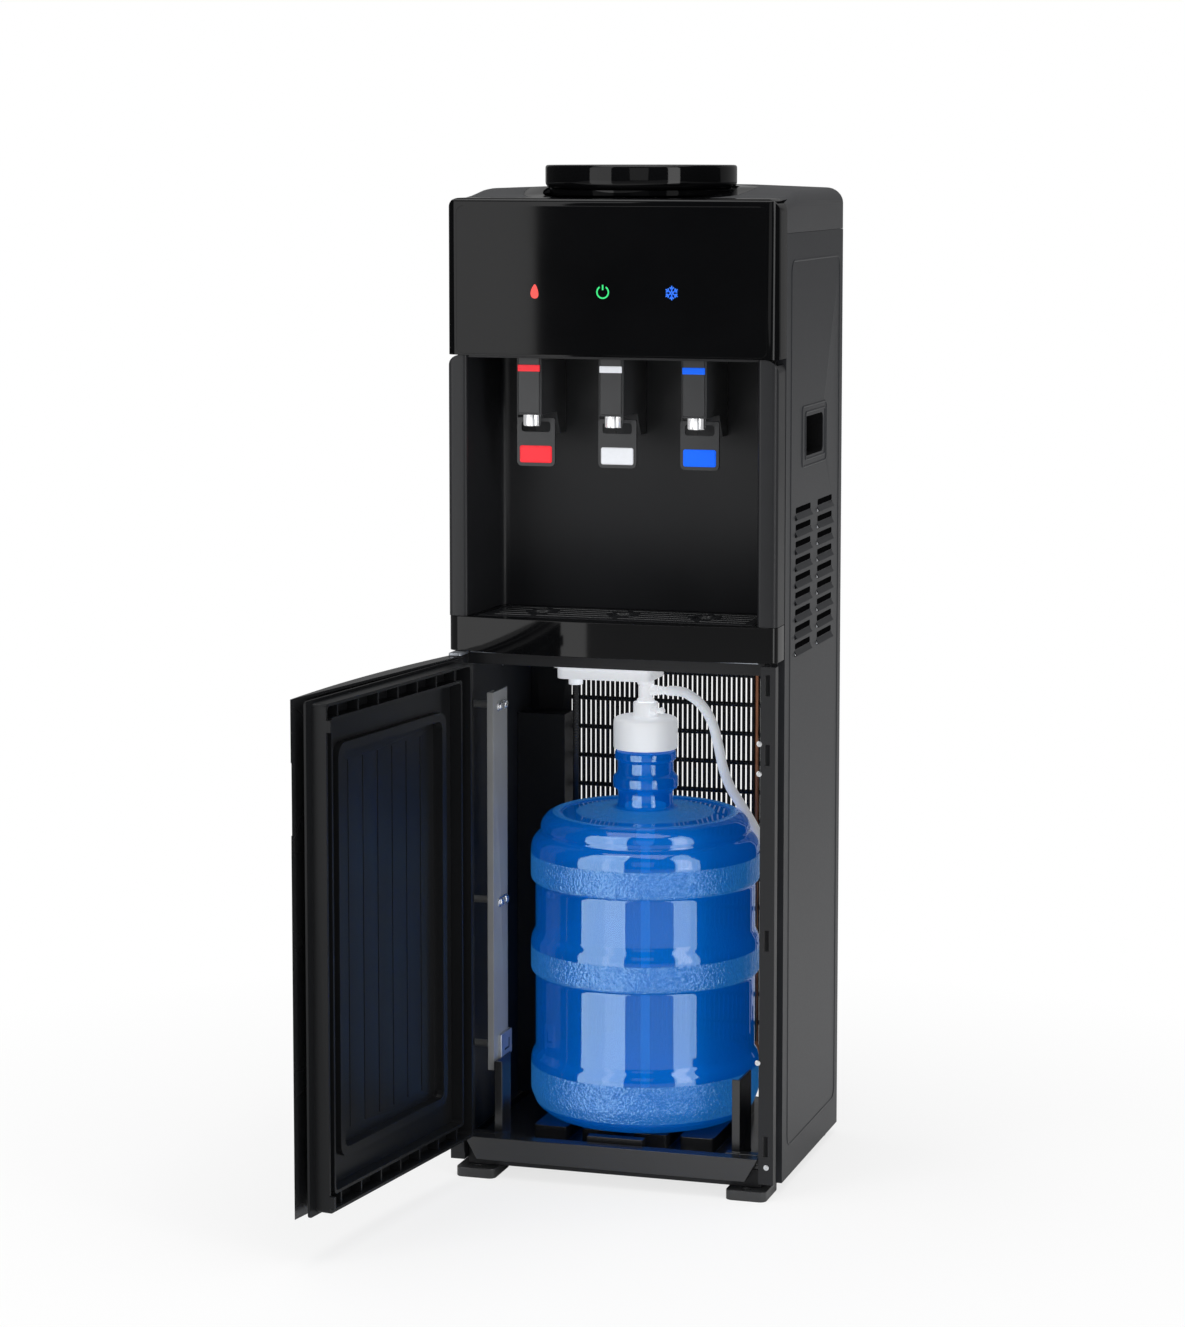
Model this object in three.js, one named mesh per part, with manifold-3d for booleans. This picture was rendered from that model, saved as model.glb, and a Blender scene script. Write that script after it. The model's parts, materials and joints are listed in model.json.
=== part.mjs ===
// A free-standing bottom load water cooler with its door open, in millimetres, +Z up.
// X runs to the cooler's right seen from the front, Y runs to its back, Z up from the floor.
// The pieces are worked out with X = 0 in the middle of the cabinet, Y = 0 just before the bay
// posts and Z = 0 on the floor. The last lines move the whole to the middle of its own footprint.
import * as THREE from "three";
import { mergeVertices } from "three/addons/utils/BufferGeometryUtils.js";
import Module from "manifold-3d";

const wasm = await Module();
wasm.setup();

// ---- driving dimensions ----
const cabinetWidth = 360;
const half = cabinetWidth / 2;
const cabinetBack = 292; // rear face of the side panels
const panelFront = 38; // where the steel side panels start behind the front mouldings
const panelBottom = 11;
const sheet = 1.5; // steel sheet
const moulding = 2.5; // wall of the plastic mouldings
const seat = 0.3; // gap between two pieces that touch
const running = 1; // gap round a piece that slides or lifts

// The bottle sets the bay's height: cap, tee, sensing housing and shelf stack up above it.
const bottleRadius = 125;
const bottleAxisY = 138;
const bottleBase = 50;
const bottleHeight = 430;
const bottleWall = 1.8;
const neckRadius = 27;
const neckTop = bottleBase + bottleHeight;
const capRadius = 35;
const capHeight = 42;
const capAboveNeck = 8;
const capTop = neckTop + capAboveNeck;
const capBottom = capTop - capHeight;
const stemRadius = 13.5;
const stemHeight = 16;
const stemTop = capTop + stemHeight;
const teeHeight = 26;
const pumpHousingBottom = stemTop + teeHeight;
const pumpHousingHeight = 38.4;
const hoseRadius = 5.4;
const bayCeiling = pumpHousingBottom + pumpHousingHeight;
const shelfThickness = 2;
const shelfTop = bayCeiling + shelfThickness + seat;

const trayHeight = 37;
const trayBottom = shelfTop + seat;
const trayTop = trayBottom + trayHeight;
const nicheHeight = 277.5;
const bezelBottom = trayTop + nicheHeight;
const bezelHeight = 164.5;
const bezelTop = bezelBottom + bezelHeight;
const bezelFront = 2;
const panelTop = bezelTop - 36;
const coverRise = 16; // from the front edge up to the crown
const coverCrown = bezelTop + coverRise;
const shoulderRadius = 18;
const frontCorner = 12;
const lidRadius = 102;
const lidRise = 34;
const lidTop = bezelTop + lidRise;
const lidAxisY = 118;
const pocketClearance = 3;

const pillarWidth = 22;
const nicheHalfWidth = half - pillarWidth;
const nicheBackY = 110;
const pillarFront = 4;
const trayBow = 12;
const trayEdge = 2;
const trayShoulder = 23;
const trayHalfWidth = half - trayShoulder;
const grilleFront = 18;
const grilleBack = nicheBackY - running;
const grilleThickness = 3.2;
const panDepth = 22;

const tapSpacing = 90;
const tapMiddle = -5; // the taps and lights stand a little left of the middle
const tapFront = 22;
const tapWidth = 27;
const tapDrop = 63.5;
const tapBottom = bezelBottom - tapDrop;
const nozzleRadius = 9.3;
const nozzleLength = 12;
const paddleWidth = 42;
const paddleDrop = 56;
const paddleBottom = tapBottom - paddleDrop;
const paddleY = 46;
const paddlePivotZ = tapBottom + 11;

const postFront = 3;
const postWidth = 17;
const postInner = half - postWidth;
const doorBottom = 46;
const doorTop = trayBottom - 4;
const doorHalfWidth = half - 7.5;
const doorPivotX = -(half - 12);
const doorPivotY = -7;
const doorOpen = 98; // degrees
const doorEdgeFront = -13;
const doorBow = 9;
const doorInner = 18; // how far the liner reaches into the bay
const doorPinRadius = 3;

const baseFloor = 34;
const beamFront = 0;
const beamTop = 45;
const beamBottom = 20;
const footHeight = 10.7;
const footWidth = 44;
const footInset = 8;

const condenserY = cabinetBack + 6;
const condenserTube = 2.6;
const condenserRuns = 15;
const condenserPitch = 33;
const condenserBottom = 84;
const condenserHalfWidth = half - 34;
const condenserWires = 3;
const wireSize = 1.6;

const louverRows = 9;
const louverPitch = 18;
const louverTop = panelTop - 294;
const louverLength = 70;
const louverHeight = 7;
const louverHood = 3; // how far a louver's lip stands out
const louverStarts = [80, 178]; // Y of each column's front end
const handleCentreY = 162;
const handleCentreZ = panelTop - 216;
const handleLength = 84;
const handleHeight = 42;
const handleDepth = 20;

// ---- colours and finishes ----
const finish = (color, roughness, metalness = 0) =>
  new THREE.MeshStandardMaterial({ color, roughness, metalness });
const satinBlack = finish(0x1d1e20, 0.5);
const glossBlack = finish(0x060607, 0.08);
const greySteel = finish(0x2b2c2f, 0.45, 0.2);
const chrome = finish(0xe6e8ea, 0.08, 1);
const zinc = finish(0xb9bec4, 0.4, 0.9);
const copper = finish(0xb5683c, 0.3, 1);
const stainless = finish(0xc2c6ca, 0.3, 1);
const whitePlastic = finish(0xeceef0, 0.35);
const foam = finish(0xf1efe8, 0.9);
const bottleBlue = finish(0x1c6fe0, 0.1);
const rubberBlack = finish(0x151515, 0.8);

// ---- helpers ----
const machine = new THREE.Group();

function solidFrom(geometry) {
  const bare = geometry.clone();
  bare.deleteAttribute("normal");
  bare.deleteAttribute("uv");
  const merged = mergeVertices(bare, 1e-4);
  return new wasm.Manifold(
    new wasm.Mesh({
      numProp: 3,
      vertProperties: merged.attributes.position.array,
      triVerts: new Uint32Array(merged.index.array),
    }),
  );
}

const joined = (solids) => solids.reduce((whole, next) => whole.add(next));

function block(x0, x1, y0, y1, z0, z1) {
  const box = new THREE.BoxGeometry(x1 - x0, y1 - y0, z1 - z0);
  return solidFrom(box.translate((x0 + x1) / 2, (y0 + y1) / 2, (z0 + z1) / 2));
}

// Which way an outline's two coordinates and its depth lie: a plan (x, y) rises along z, a side
// view (y, z) runs along x and a front view (z, x) runs along y.
const planes = {
  z: new THREE.Matrix4(),
  x: new THREE.Matrix4().makeBasis(
    new THREE.Vector3(0, 1, 0),
    new THREE.Vector3(0, 0, 1),
    new THREE.Vector3(1, 0, 0),
  ),
  y: new THREE.Matrix4().makeBasis(
    new THREE.Vector3(0, 0, 1),
    new THREE.Vector3(1, 0, 0),
    new THREE.Vector3(0, 1, 0),
  ),
};
function carried(outline, along, a, b, curveSegments = 6) {
  const geometry = new THREE.ExtrudeGeometry(outline, {
    depth: b - a,
    bevelEnabled: false,
    curveSegments,
  });
  return solidFrom(geometry.translate(0, 0, a).applyMatrix4(planes[along]));
}

// A rounded rectangle between two corners; radii run from the lower left corner round.
function roundedOutline(u0, v0, u1, v1, r) {
  const [r0, r1, r2, r3] = Array.isArray(r) ? r : [r, r, r, r];
  const shape = new THREE.Shape();
  shape.moveTo(u0 + r0, v0);
  shape.lineTo(u1 - r1, v0);
  if (r1) shape.absarc(u1 - r1, v0 + r1, r1, -Math.PI / 2, 0);
  shape.lineTo(u1, v1 - r2);
  if (r2) shape.absarc(u1 - r2, v1 - r2, r2, 0, Math.PI / 2);
  shape.lineTo(u0 + r3, v1);
  if (r3) shape.absarc(u0 + r3, v1 - r3, r3, Math.PI / 2, Math.PI);
  shape.lineTo(u0, v0 + r0);
  if (r0) shape.absarc(u0 + r0, v0 + r0, r0, Math.PI, Math.PI * 1.5);
  return shape;
}

function outlineOf(points) {
  return new THREE.Shape(points.map(([u, v]) => new THREE.Vector2(u, v)));
}

// A turned piece: radius and height pairs from the axis round to the axis, or a closed ring.
function turned(profile, x, y, segments = 32) {
  const points = profile.map(([radius, z]) => new THREE.Vector2(radius, z));
  const geometry = new THREE.LatheGeometry(points, segments).rotateX(Math.PI / 2);
  return solidFrom(geometry.translate(x, y, 0));
}

function rod(x, y, z0, z1, radius, segments = 24) {
  const profile = [
    [0, z0],
    [radius, z0],
    [radius, z1],
    [0, z1],
  ];
  return turned(profile, x, y, segments);
}

// A round bar along an axis; u and v are its centre in that axis's outline plane.
function crossRod(axis, a, b, u, v, radius, quarterSteps = 5) {
  const outline = new THREE.Shape();
  outline.absarc(u, v, radius, 0, Math.PI * 2);
  return carried(outline, axis, a, b, quarterSteps * 2);
}

function tubeAlong(points, radius, sides, steps) {
  const section = new THREE.Shape();
  section.absarc(0, 0, radius, 0, Math.PI * 2);
  const path = new THREE.CatmullRomCurve3(
    points.map((p) => new THREE.Vector3(...p)),
    false,
    "centripetal",
  );
  const geometry = new THREE.ExtrudeGeometry(section, {
    extrudePath: path,
    steps,
    curveSegments: sides / 2,
  });
  return solidFrom(geometry);
}

function place(name, solid, material, parent = machine) {
  const mesh = solid.getMesh();
  const geometry = new THREE.BufferGeometry();
  const corners = new Float32Array(mesh.vertProperties);
  geometry.setAttribute("position", new THREE.BufferAttribute(corners, 3));
  geometry.setIndex(new THREE.BufferAttribute(new Uint32Array(mesh.triVerts), 1));
  geometry.computeVertexNormals();
  const piece = new THREE.Mesh(geometry, material);
  piece.name = name;
  parent.add(piece);
  return piece;
}

// ---- outer shell ----
// Bent steel side with a front and a rear return, louvers and a carrying handle cut through it.
function sidePanel(side) {
  const returnFront = 11;
  const returnRear = 15;
  const inner = half - sheet;
  const outline = outlineOf([
    [half, panelFront],
    [half, cabinetBack],
    [half - returnRear, cabinetBack],
    [half - returnRear, cabinetBack - sheet],
    [inner, cabinetBack - sheet],
    [inner, panelFront + sheet],
    [half - returnFront, panelFront + sheet],
    [half - returnFront, panelFront],
  ]);
  const handle = roundedOutline(
    handleCentreY - handleLength / 2,
    handleCentreZ - handleHeight / 2,
    handleCentreY + handleLength / 2,
    handleCentreZ + handleHeight / 2,
    8,
  );
  const hoods = [];
  const slots = [];
  for (const start of louverStarts) {
    for (let row = 0; row < louverRows; row++) {
      const top = louverTop - row * louverPitch;
      const low = top - louverHeight;
      const hood = outlineOf([
        [top, inner + 0.2],
        [low, half + louverHood],
        [low, half + louverHood - 1.2],
        [top - 2.4, inner + 0.2],
      ]);
      hoods.push(carried(hood, "y", start + 1, start + louverLength - 1));
      slots.push(block(inner - 1, half + 1, start, start + louverLength, low - 1, top - 1));
    }
  }
  const cup = block(
    inner - handleDepth,
    inner + 0.5,
    handleCentreY - handleLength / 2 - 2,
    handleCentreY + handleLength / 2 + 2,
    handleCentreZ - handleHeight / 2 - 2,
    handleCentreZ + handleHeight / 2 + 2,
  );
  const panel = carried(outline, "z", panelBottom, panelTop)
    .subtract(joined(slots))
    .add(joined(hoods))
    .add(cup)
    .subtract(carried(handle, "x", inner - handleDepth + sheet, half + 1, 3));
  return side > 0 ? panel : panel.mirror([1, 0, 0]);
}
place("side_panel_right", sidePanel(1), greySteel);
place("side_panel_left", sidePanel(-1), greySteel);

// The crowned head of the cabinet as a solid, drawn in by a wall thickness: a front view with
// rounded shoulders, a side view that rises from the front edge to the crown, and a plan with
// rounded front corners, each carried right through and kept where all three agree.
const crownRise = 7;
const frontEdgeRadius = 6;
const rearRadius = 18;
const crownStart = 34;
const crownEnd = 190;
function headSolid(wall) {
  const out = half - wall;
  const top = coverCrown - wall;
  const shoulder = shoulderRadius - wall / 2;
  const front = new THREE.Shape();
  const shoulderZ = top - crownRise - shoulder;
  front.moveTo(bezelBottom - 40, -out);
  front.lineTo(shoulderZ, -out);
  front.absarc(shoulderZ, -(out - shoulder), shoulder, -Math.PI / 2, 0);
  front.quadraticCurveTo(top + 1, 0, shoulderZ + shoulder, out - shoulder);
  front.absarc(shoulderZ, out - shoulder, shoulder, 0, Math.PI / 2);
  front.lineTo(bezelBottom - 40, out);
  const low = bezelTop - wall;
  const side = new THREE.Shape();
  side.moveTo(bezelFront + wall, bezelBottom - 40);
  side.lineTo(bezelFront + wall, low - frontEdgeRadius);
  side.absarc(
    bezelFront + wall + frontEdgeRadius,
    low - frontEdgeRadius,
    frontEdgeRadius,
    Math.PI,
    Math.PI / 2,
    true,
  );
  side.lineTo(crownStart, low);
  side.bezierCurveTo(crownStart + 50, low, crownEnd - 60, top, crownEnd, top);
  side.lineTo(cabinetBack - wall - rearRadius, top);
  side.absarc(cabinetBack - wall - rearRadius, top - rearRadius, rearRadius, Math.PI / 2, 0, true);
  side.lineTo(cabinetBack - wall, bezelBottom - 40);
  const plan = roundedOutline(-out, bezelFront + wall, out, cabinetBack - wall, [
    frontCorner - wall / 2,
    frontCorner - wall / 2,
    1,
    1,
  ]);
  return carried(front, "y", 0, cabinetBack, 4)
    .intersect(carried(side, "x", -half, half, 4))
    .intersect(carried(plan, "z", bezelBottom - 40, coverCrown + 5, 4));
}

const pocketRadius = lidRadius + pocketClearance;
const pocketFloor = bezelTop + 0.5;
// The round pocket that the lid stands in, cut into the rising top.
function pocketCut() {
  return rod(0, lidAxisY, pocketFloor, coverCrown + 10, pocketRadius, 36);
}

const tongueRadius = pocketRadius + 20;
// Everything that belongs to the gloss front moulding: the front block and a round tongue of deck.
function frontRegion(clearance) {
  const frontBlock = block(
    -half - 5,
    half + 5,
    -5,
    panelFront - seat + clearance,
    bezelBottom,
    coverCrown + 5,
  );
  const tongue = rod(0, lidAxisY, panelTop + 12 - clearance, coverCrown + 5, tongueRadius + clearance, 36);
  return frontBlock.add(tongue);
}

function headShell() {
  const floor = rod(0, lidAxisY, pocketFloor - moulding, pocketFloor + 3, pocketRadius + moulding, 36);
  const outer = headSolid(0);
  return outer
    .subtract(headSolid(moulding))
    .add(floor.intersect(outer))
    .subtract(pocketCut());
}

const shellOfHead = headShell();
const neckHole = rod(0, lidAxisY, pocketFloor - 10, pocketFloor + 10, 52, 20);

function frontBezel() {
  return shellOfHead.intersect(frontRegion(0)).subtract(neckHole);
}

// The matt top cover drops over the side panels behind the front moulding.
function topCover() {
  const keep = block(
    -half - 5,
    half + 5,
    0,
    cabinetBack + 5,
    panelTop + seat,
    coverCrown + 5,
  );
  return shellOfHead.intersect(keep).subtract(frontRegion(seat));
}

const collarRadius = 69;
const collarHeight = 7;
// The fixed neck that the lid sits on: a ring with a spigot that goes down through the deck.
function topCollar() {
  const low = pocketFloor + seat;
  return turned(
    [
      [51 - seat, low - 12],
      [51 - seat, low],
      [collarRadius, low],
      [collarRadius, low + collarHeight],
      [44, low + collarHeight],
      [44, low - 12],
      [51 - seat, low - 12],
    ],
    0,
    lidAxisY,
    28,
  );
}

// The lid: a drum whose underside tapers in to the neck, hollow below.
function topLid() {
  const low = pocketFloor + collarHeight + 2 * seat;
  return turned(
    [
      [0, lidTop - 4],
      [60, lidTop - 4],
      [60, low],
      [88, low],
      [lidRadius - 1.5, low + 7],
      [lidRadius, low + 9],
      [lidRadius, lidTop - 4],
      [lidRadius - 1, lidTop - 1.6],
      [lidRadius - 4, lidTop],
      [0, lidTop],
    ],
    0,
    lidAxisY,
    28,
  );
}

place("front_bezel", frontBezel(), glossBlack);
place("top_cover", topCover(), satinBlack);
place("top_collar", topCollar(), glossBlack);
place("top_lid", topLid(), glossBlack);

// ---- dispensing niche ----
const nicheWall = 2.5;
const pillarRadius = 6;
const pillarTopRadius = 14;
const nicheTop = bezelBottom - seat;
const nicheTaper = 6; // the walls close in a little towards the back

// Pillars, side walls and back wall in one moulding, open below and closed by a ceiling.
function nicheLiner() {
  const outerX = half - 0.5;
  const backX = nicheHalfWidth - nicheTaper;
  const backEnd = panelFront - seat;
  const shape = new THREE.Shape();
  shape.moveTo(outerX, backEnd);
  shape.lineTo(outerX, pillarFront + pillarRadius);
  shape.absarc(outerX - pillarRadius, pillarFront + pillarRadius, pillarRadius, 0, -Math.PI / 2, true);
  shape.lineTo(nicheHalfWidth + 4, pillarFront);
  shape.absarc(nicheHalfWidth + 4, pillarFront + 4, 4, -Math.PI / 2, Math.PI, true);
  shape.lineTo(backX + 2, nicheBackY - 8);
  shape.quadraticCurveTo(backX, nicheBackY, backX - 8, nicheBackY);
  shape.lineTo(0, nicheBackY);
  shape.lineTo(0, nicheBackY + nicheWall);
  shape.lineTo(backX - 8, nicheBackY + nicheWall);
  shape.quadraticCurveTo(
    backX + nicheWall,
    nicheBackY + nicheWall,
    backX + 2 + nicheWall,
    nicheBackY - 8,
  );
  shape.lineTo(nicheHalfWidth + nicheWall, pillarFront + 8);
  shape.lineTo(nicheHalfWidth + nicheWall + 1, pillarFront + nicheWall);
  shape.lineTo(outerX - pillarRadius, pillarFront + nicheWall);
  shape.lineTo(outerX - nicheWall, pillarFront + pillarRadius);
  shape.lineTo(outerX - nicheWall, backEnd);
  const low = trayTop + seat;
  const right = carried(shape, "z", low, nicheTop);
  const left = right.mirror([1, 0, 0]);
  const ceiling = block(
    -nicheHalfWidth - 2,
    nicheHalfWidth + 2,
    pillarFront + 5,
    nicheBackY + 1,
    nicheTop - nicheWall,
    nicheTop,
  );
  const frontView = roundedOutline(low, -outerX, nicheTop, outerX, [
    0,
    pillarTopRadius,
    pillarTopRadius,
    0,
  ]);
  const whole = right.add(left).add(ceiling);
  return whole.intersect(carried(frontView, "y", 0, nicheBackY + 10));
}
place("niche_liner", nicheLiner(), satinBlack);

// Bowed plan of the tray front and of the door: straight shoulders, then a shallow arc.
function bowedFront(halfWidth, edgeY, bow, backY, endX) {
  const shape = new THREE.Shape();
  const radius = (halfWidth * halfWidth + bow * bow) / (2 * bow);
  const sweep = Math.asin(halfWidth / radius);
  shape.moveTo(endX, backY);
  shape.lineTo(endX, edgeY + 10);
  shape.quadraticCurveTo(endX, edgeY + 1, halfWidth, edgeY);
  shape.absarc(0, edgeY - bow + radius, radius, -Math.PI / 2 + sweep, -Math.PI / 2 - sweep, true);
  shape.quadraticCurveTo(-endX, edgeY + 1, -endX, edgeY + 10);
  shape.lineTo(-endX, backY);
  return shape;
}

const pocketWall = 3;
// Gloss bowed front and the shelf behind it, with a well for the drip pan.
function trayFascia() {
  const outerX = half - 0.5;
  const front = carried(
    bowedFront(trayHalfWidth, trayEdge, trayBow, panelFront - seat, outerX),
    "z",
    trayBottom,
    trayTop,
    10,
  );
  const shelf = block(
    -nicheHalfWidth,
    nicheHalfWidth,
    trayEdge + 4,
    grilleBack + pocketWall + running,
    trayBottom,
    trayTop,
  );
  const lip = block(
    -nicheHalfWidth + nicheTaper,
    nicheHalfWidth - nicheTaper,
    grilleBack + running,
    grilleBack + pocketWall + running,
    trayTop - 1,
    trayTop,
  );
  const well = carried(panOutline(running), "z", panFloor, trayTop + 1);
  const lighten = block(-half + 4, -nicheHalfWidth - 1, trayEdge + 13, panelFront, trayBottom - 1, trayTop - 3);
  return front
    .add(shelf)
    .add(lip)
    .subtract(well)
    .subtract(lighten)
    .subtract(lighten.mirror([1, 0, 0]));
}
const panFloor = trayTop - grilleThickness - panDepth;
const panFrontHalf = nicheHalfWidth - nicheTaper;
const panBackHalf = panFrontHalf - 8;
// The pan's outline seen from above, wider at the front, let out by a clearance.
function panOutline(clearance) {
  return outlineOf([
    [-panFrontHalf - clearance, grilleFront - clearance],
    [panFrontHalf + clearance, grilleFront - clearance],
    [panBackHalf + clearance, grilleBack - running + clearance],
    [-panBackHalf - clearance, grilleBack - running + clearance],
  ]);
}
place("tray_fascia", trayFascia(), glossBlack);

const panSkin = 2;
const panRim = 2.2;
const panLedge = 1.4;
// Stepped pan: the grille drops inside the rim and rests on the ledge.
function dripPan() {
  const low = panFloor + seat;
  const ledge = trayTop - grilleThickness - seat;
  const body = carried(panOutline(panSkin - panRim - panLedge), "z", low, ledge);
  const rim = carried(panOutline(0), "z", ledge - panSkin, trayTop);
  const hollow = carried(panOutline(-panRim - panLedge), "z", low + panSkin, trayTop + 1);
  const rebate = carried(panOutline(-panRim), "z", ledge, trayTop + 1);
  return joined([body, rim]).subtract(joined([hollow, rebate]));
}

const grilleRows = 5;
const wellRadius = 13.2;
const wellY = 66;
// Flat grille with rows of slots that stop short of three round wells under the taps.
function dripGrille() {
  const low = trayTop - grilleThickness;
  let plate = carried(panOutline(-panRim - seat), "z", low, trayTop);
  const cuts = [];
  const rowPitch = (grilleBack - grilleFront - 16) / grilleRows;
  for (let row = 0; row < grilleRows; row++) {
    const y = grilleFront + 8 + rowPitch * (row + 0.5);
    const reach = Math.sqrt(Math.max(0, (wellRadius + 5) ** 2 - (Math.abs(y - wellY) - 3) ** 2));
    const stops = [-panBackHalf + 6];
    for (const tap of [-1, 0, 1]) {
      const x = tapMiddle + tap * tapSpacing;
      const near = Math.max(reach, 3);
      stops.push(x - near, x + near);
    }
    stops.push(panBackHalf - 6);
    for (let i = 0; i < stops.length; i += 2) {
      cuts.push(block(stops[i], stops[i + 1], y - 3.2, y + 3.2, low - 1, trayTop + 1));
    }
  }
  plate = plate.subtract(joined(cuts));
  for (const tap of [-1, 0, 1]) {
    const x = tapMiddle + tap * tapSpacing;
    plate = plate.subtract(rod(x, wellY, low + 1.4, trayTop + 1, wellRadius, 16));
    plate = plate.subtract(rod(x, wellY, low - 1, trayTop, wellRadius - 5, 10));
  }
  return plate;
}
place("drip_pan", dripPan(), satinBlack);
place("drip_grille", dripGrille(), satinBlack);

// ---- taps ----
const tapNames = ["hot", "normal", "cold"];
const tongueHalf = 7;

// Deep housing that hangs from the niche ceiling, with a raised front panel and a paddle slot.
function tapHousing(x) {
  const top = nicheTop - nicheWall - seat;
  const hw = tapWidth / 2;
  const side = outlineOf([
    [tapFront + 1.5, tapBottom],
    [tapFront + 1.5, top],
    [nicheBackY - seat, top],
    [nicheBackY - seat, tapBottom - 24],
    [nicheBackY - 20, tapBottom - 24],
    [nicheBackY - 34, tapBottom],
  ]);
  const core = carried(side, "x", x - hw, x + hw);
  const panel = block(x - hw + 2, x + hw - 2, tapFront, tapFront + 3, tapBottom + 2, top);
  const slot = block(
    x - tongueHalf - running,
    x + tongueHalf + running,
    paddleY - 5,
    paddleY + 22,
    tapBottom - 1,
    paddlePivotZ + 6,
  );
  return core.add(panel).subtract(slot);
}

// Bright outlet sleeve with a stepped lip, bored right through.
function tapNozzle(x) {
  const y = tapFront + nozzleRadius + 2.5;
  const low = tapBottom - nozzleLength;
  const top = tapBottom - seat;
  return turned(
    [
      [nozzleRadius - 2.5, low],
      [nozzleRadius - 0.8, low],
      [nozzleRadius, low + 1],
      [nozzleRadius, top],
      [nozzleRadius - 2.5, top],
      [nozzleRadius - 2.5, low],
    ],
    x,
    y,
    18,
  );
}

// The lever that a cup pushes: a rounded plate with a window under the nozzle and a tongue
// that goes up into the housing and turns on a pin there.
function paddle(x) {
  const hw = paddleWidth / 2;
  const top = tapBottom - 4.5;
  const thick = 4;
  const outline = roundedOutline(paddleBottom, x - hw, top, x + hw, [5, 2, 2, 5]);
  const plate = carried(outline, "y", paddleY, paddleY + thick, 2);
  const windowHole = roundedOutline(top - 15, x - hw + 5, top - 4, x + hw - 5, 2.5);
  const rim = roundedOutline(paddleBottom + 3, x - hw + 3, top - 3, x + hw - 3, 3);
  const dish = carried(rim, "y", paddleY + thick - 1.5, paddleY + thick + 1, 1);
  const tongue = block(
    x - tongueHalf,
    x + tongueHalf,
    paddleY,
    paddleY + thick,
    top - 2,
    paddlePivotZ,
  );
  const pivotHalf = tongueHalf + running - seat; // the pivot pin reaches the slot's side walls
  const barrel = crossRod("x", x - pivotHalf, x + pivotHalf, paddleY + 2, paddlePivotZ, 3.4, 2);
  return plate
    .subtract(carried(windowHole, "y", paddleY - 1, paddleY + thick + 1, 1))
    .subtract(dish)
    .add(tongue)
    .add(barrel);
}

tapNames.forEach((name, i) => {
  const x = tapMiddle + (i - 1) * tapSpacing;
  place("tap_housing_" + name, tapHousing(x), satinBlack);
  place("tap_nozzle_" + name, tapNozzle(x), chrome);
  place("paddle_" + name, paddle(x), satinBlack);
});

// ---- bay frame ----
const postTop = doorTop + seat;
const postLow = 18;
const postFace = 3; // thickness of the folded face
const slotHeights = [doorBottom + 13, doorBottom + 233, doorTop - 92, doorTop - 19];
const headerFront = 20;

// Folded posts each side of the bay door, tied by a header under the tray.
function bayFrame() {
  const outerX = half - 1;
  const post = outlineOf([
    [postInner, postFront],
    [outerX, postFront],
    [outerX, postFront + 12],
    [outerX - 2, postFront + 12],
    [outerX - 2, postFront + postFace],
    [postInner + 2.5, postFront + postFace],
    [postInner + 2.5, panelFront - seat - 2],
    [outerX - 6, panelFront - seat - 2],
    [outerX - 6, panelFront - seat],
    [postInner, panelFront - seat],
  ]);
  let right = carried(post, "z", postLow, postTop);
  for (const z of slotHeights) {
    const slot = block(postInner + 5, postInner + 10, postFront - 1, postFront + 5, z - 11, z + 11);
    right = right.subtract(slot);
  }
  const left = carried(post, "z", postLow, postTop).mirror([1, 0, 0]);
  const headerTop = shelfTop - shelfThickness - seat;
  const header = block(
    -postInner - 1,
    postInner + 1,
    headerFront,
    panelFront - seat,
    headerTop - 13,
    headerTop,
  );
  return right.add(left).add(header);
}
place("bay_frame", bayFrame(), satinBlack);

const shelfHalf = half - sheet - seat;
const lineHoleX = 88;
const deliveryX = half - 20;
const rearLineY = cabinetBack - 11;
// Pressed shelf that closes the bay above and carries the compressor and the tray.
function midShelf() {
  const low = shelfTop - shelfThickness;
  let plate = block(-shelfHalf, shelfHalf, panelFront + sheet + seat, cabinetBack - sheet - seat, low, shelfTop);
  const frontTab = block(-nicheHalfWidth, nicheHalfWidth, trayEdge + 10, panelFront + 5, low, shelfTop);
  plate = plate.add(frontTab);
  plate = plate.subtract(rod(lineHoleX, rearLineY, low - 1, shelfTop + 1, 5, 12));
  return plate.subtract(rod(deliveryX, rearLineY - 14, low - 1, shelfTop + 1, 7, 12));
}
place("mid_shelf", midShelf(), zinc);

const guideInner = bottleRadius + 3;
const guideThickness = 9;
const bracketLow = doorBottom + 65;
const bracketHigh = doorTop - 44;
const bracketFace = -(guideInner + guideThickness + 1.5);
const bracketStuds = [
  [58, bracketHigh - 17],
  [59.4, bracketLow + 181],
  [62.6, bracketLow + 21],
];
// Galvanised channel that stands beside the bottle on three stand-off studs from the left side.
function wallBracket() {
  const outline = outlineOf([
    [bracketFace, 78],
    [bracketFace, 30],
    [bracketFace - 7, 30],
    [bracketFace - 7, 50],
    [bracketFace - 5, 50],
    [bracketFace - 5, 32],
    [bracketFace - 2, 32],
    [bracketFace - 2, 78],
  ]);
  const channel = carried(outline, "z", bracketLow, bracketHigh);
  const studs = bracketStuds.map(([y, z]) =>
    crossRod("x", -(half - sheet - seat), bracketFace + 3, y, z, 4, 2),
  );
  return channel.add(joined(studs));
}
place("wall_bracket", wallBracket(), zinc);

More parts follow.
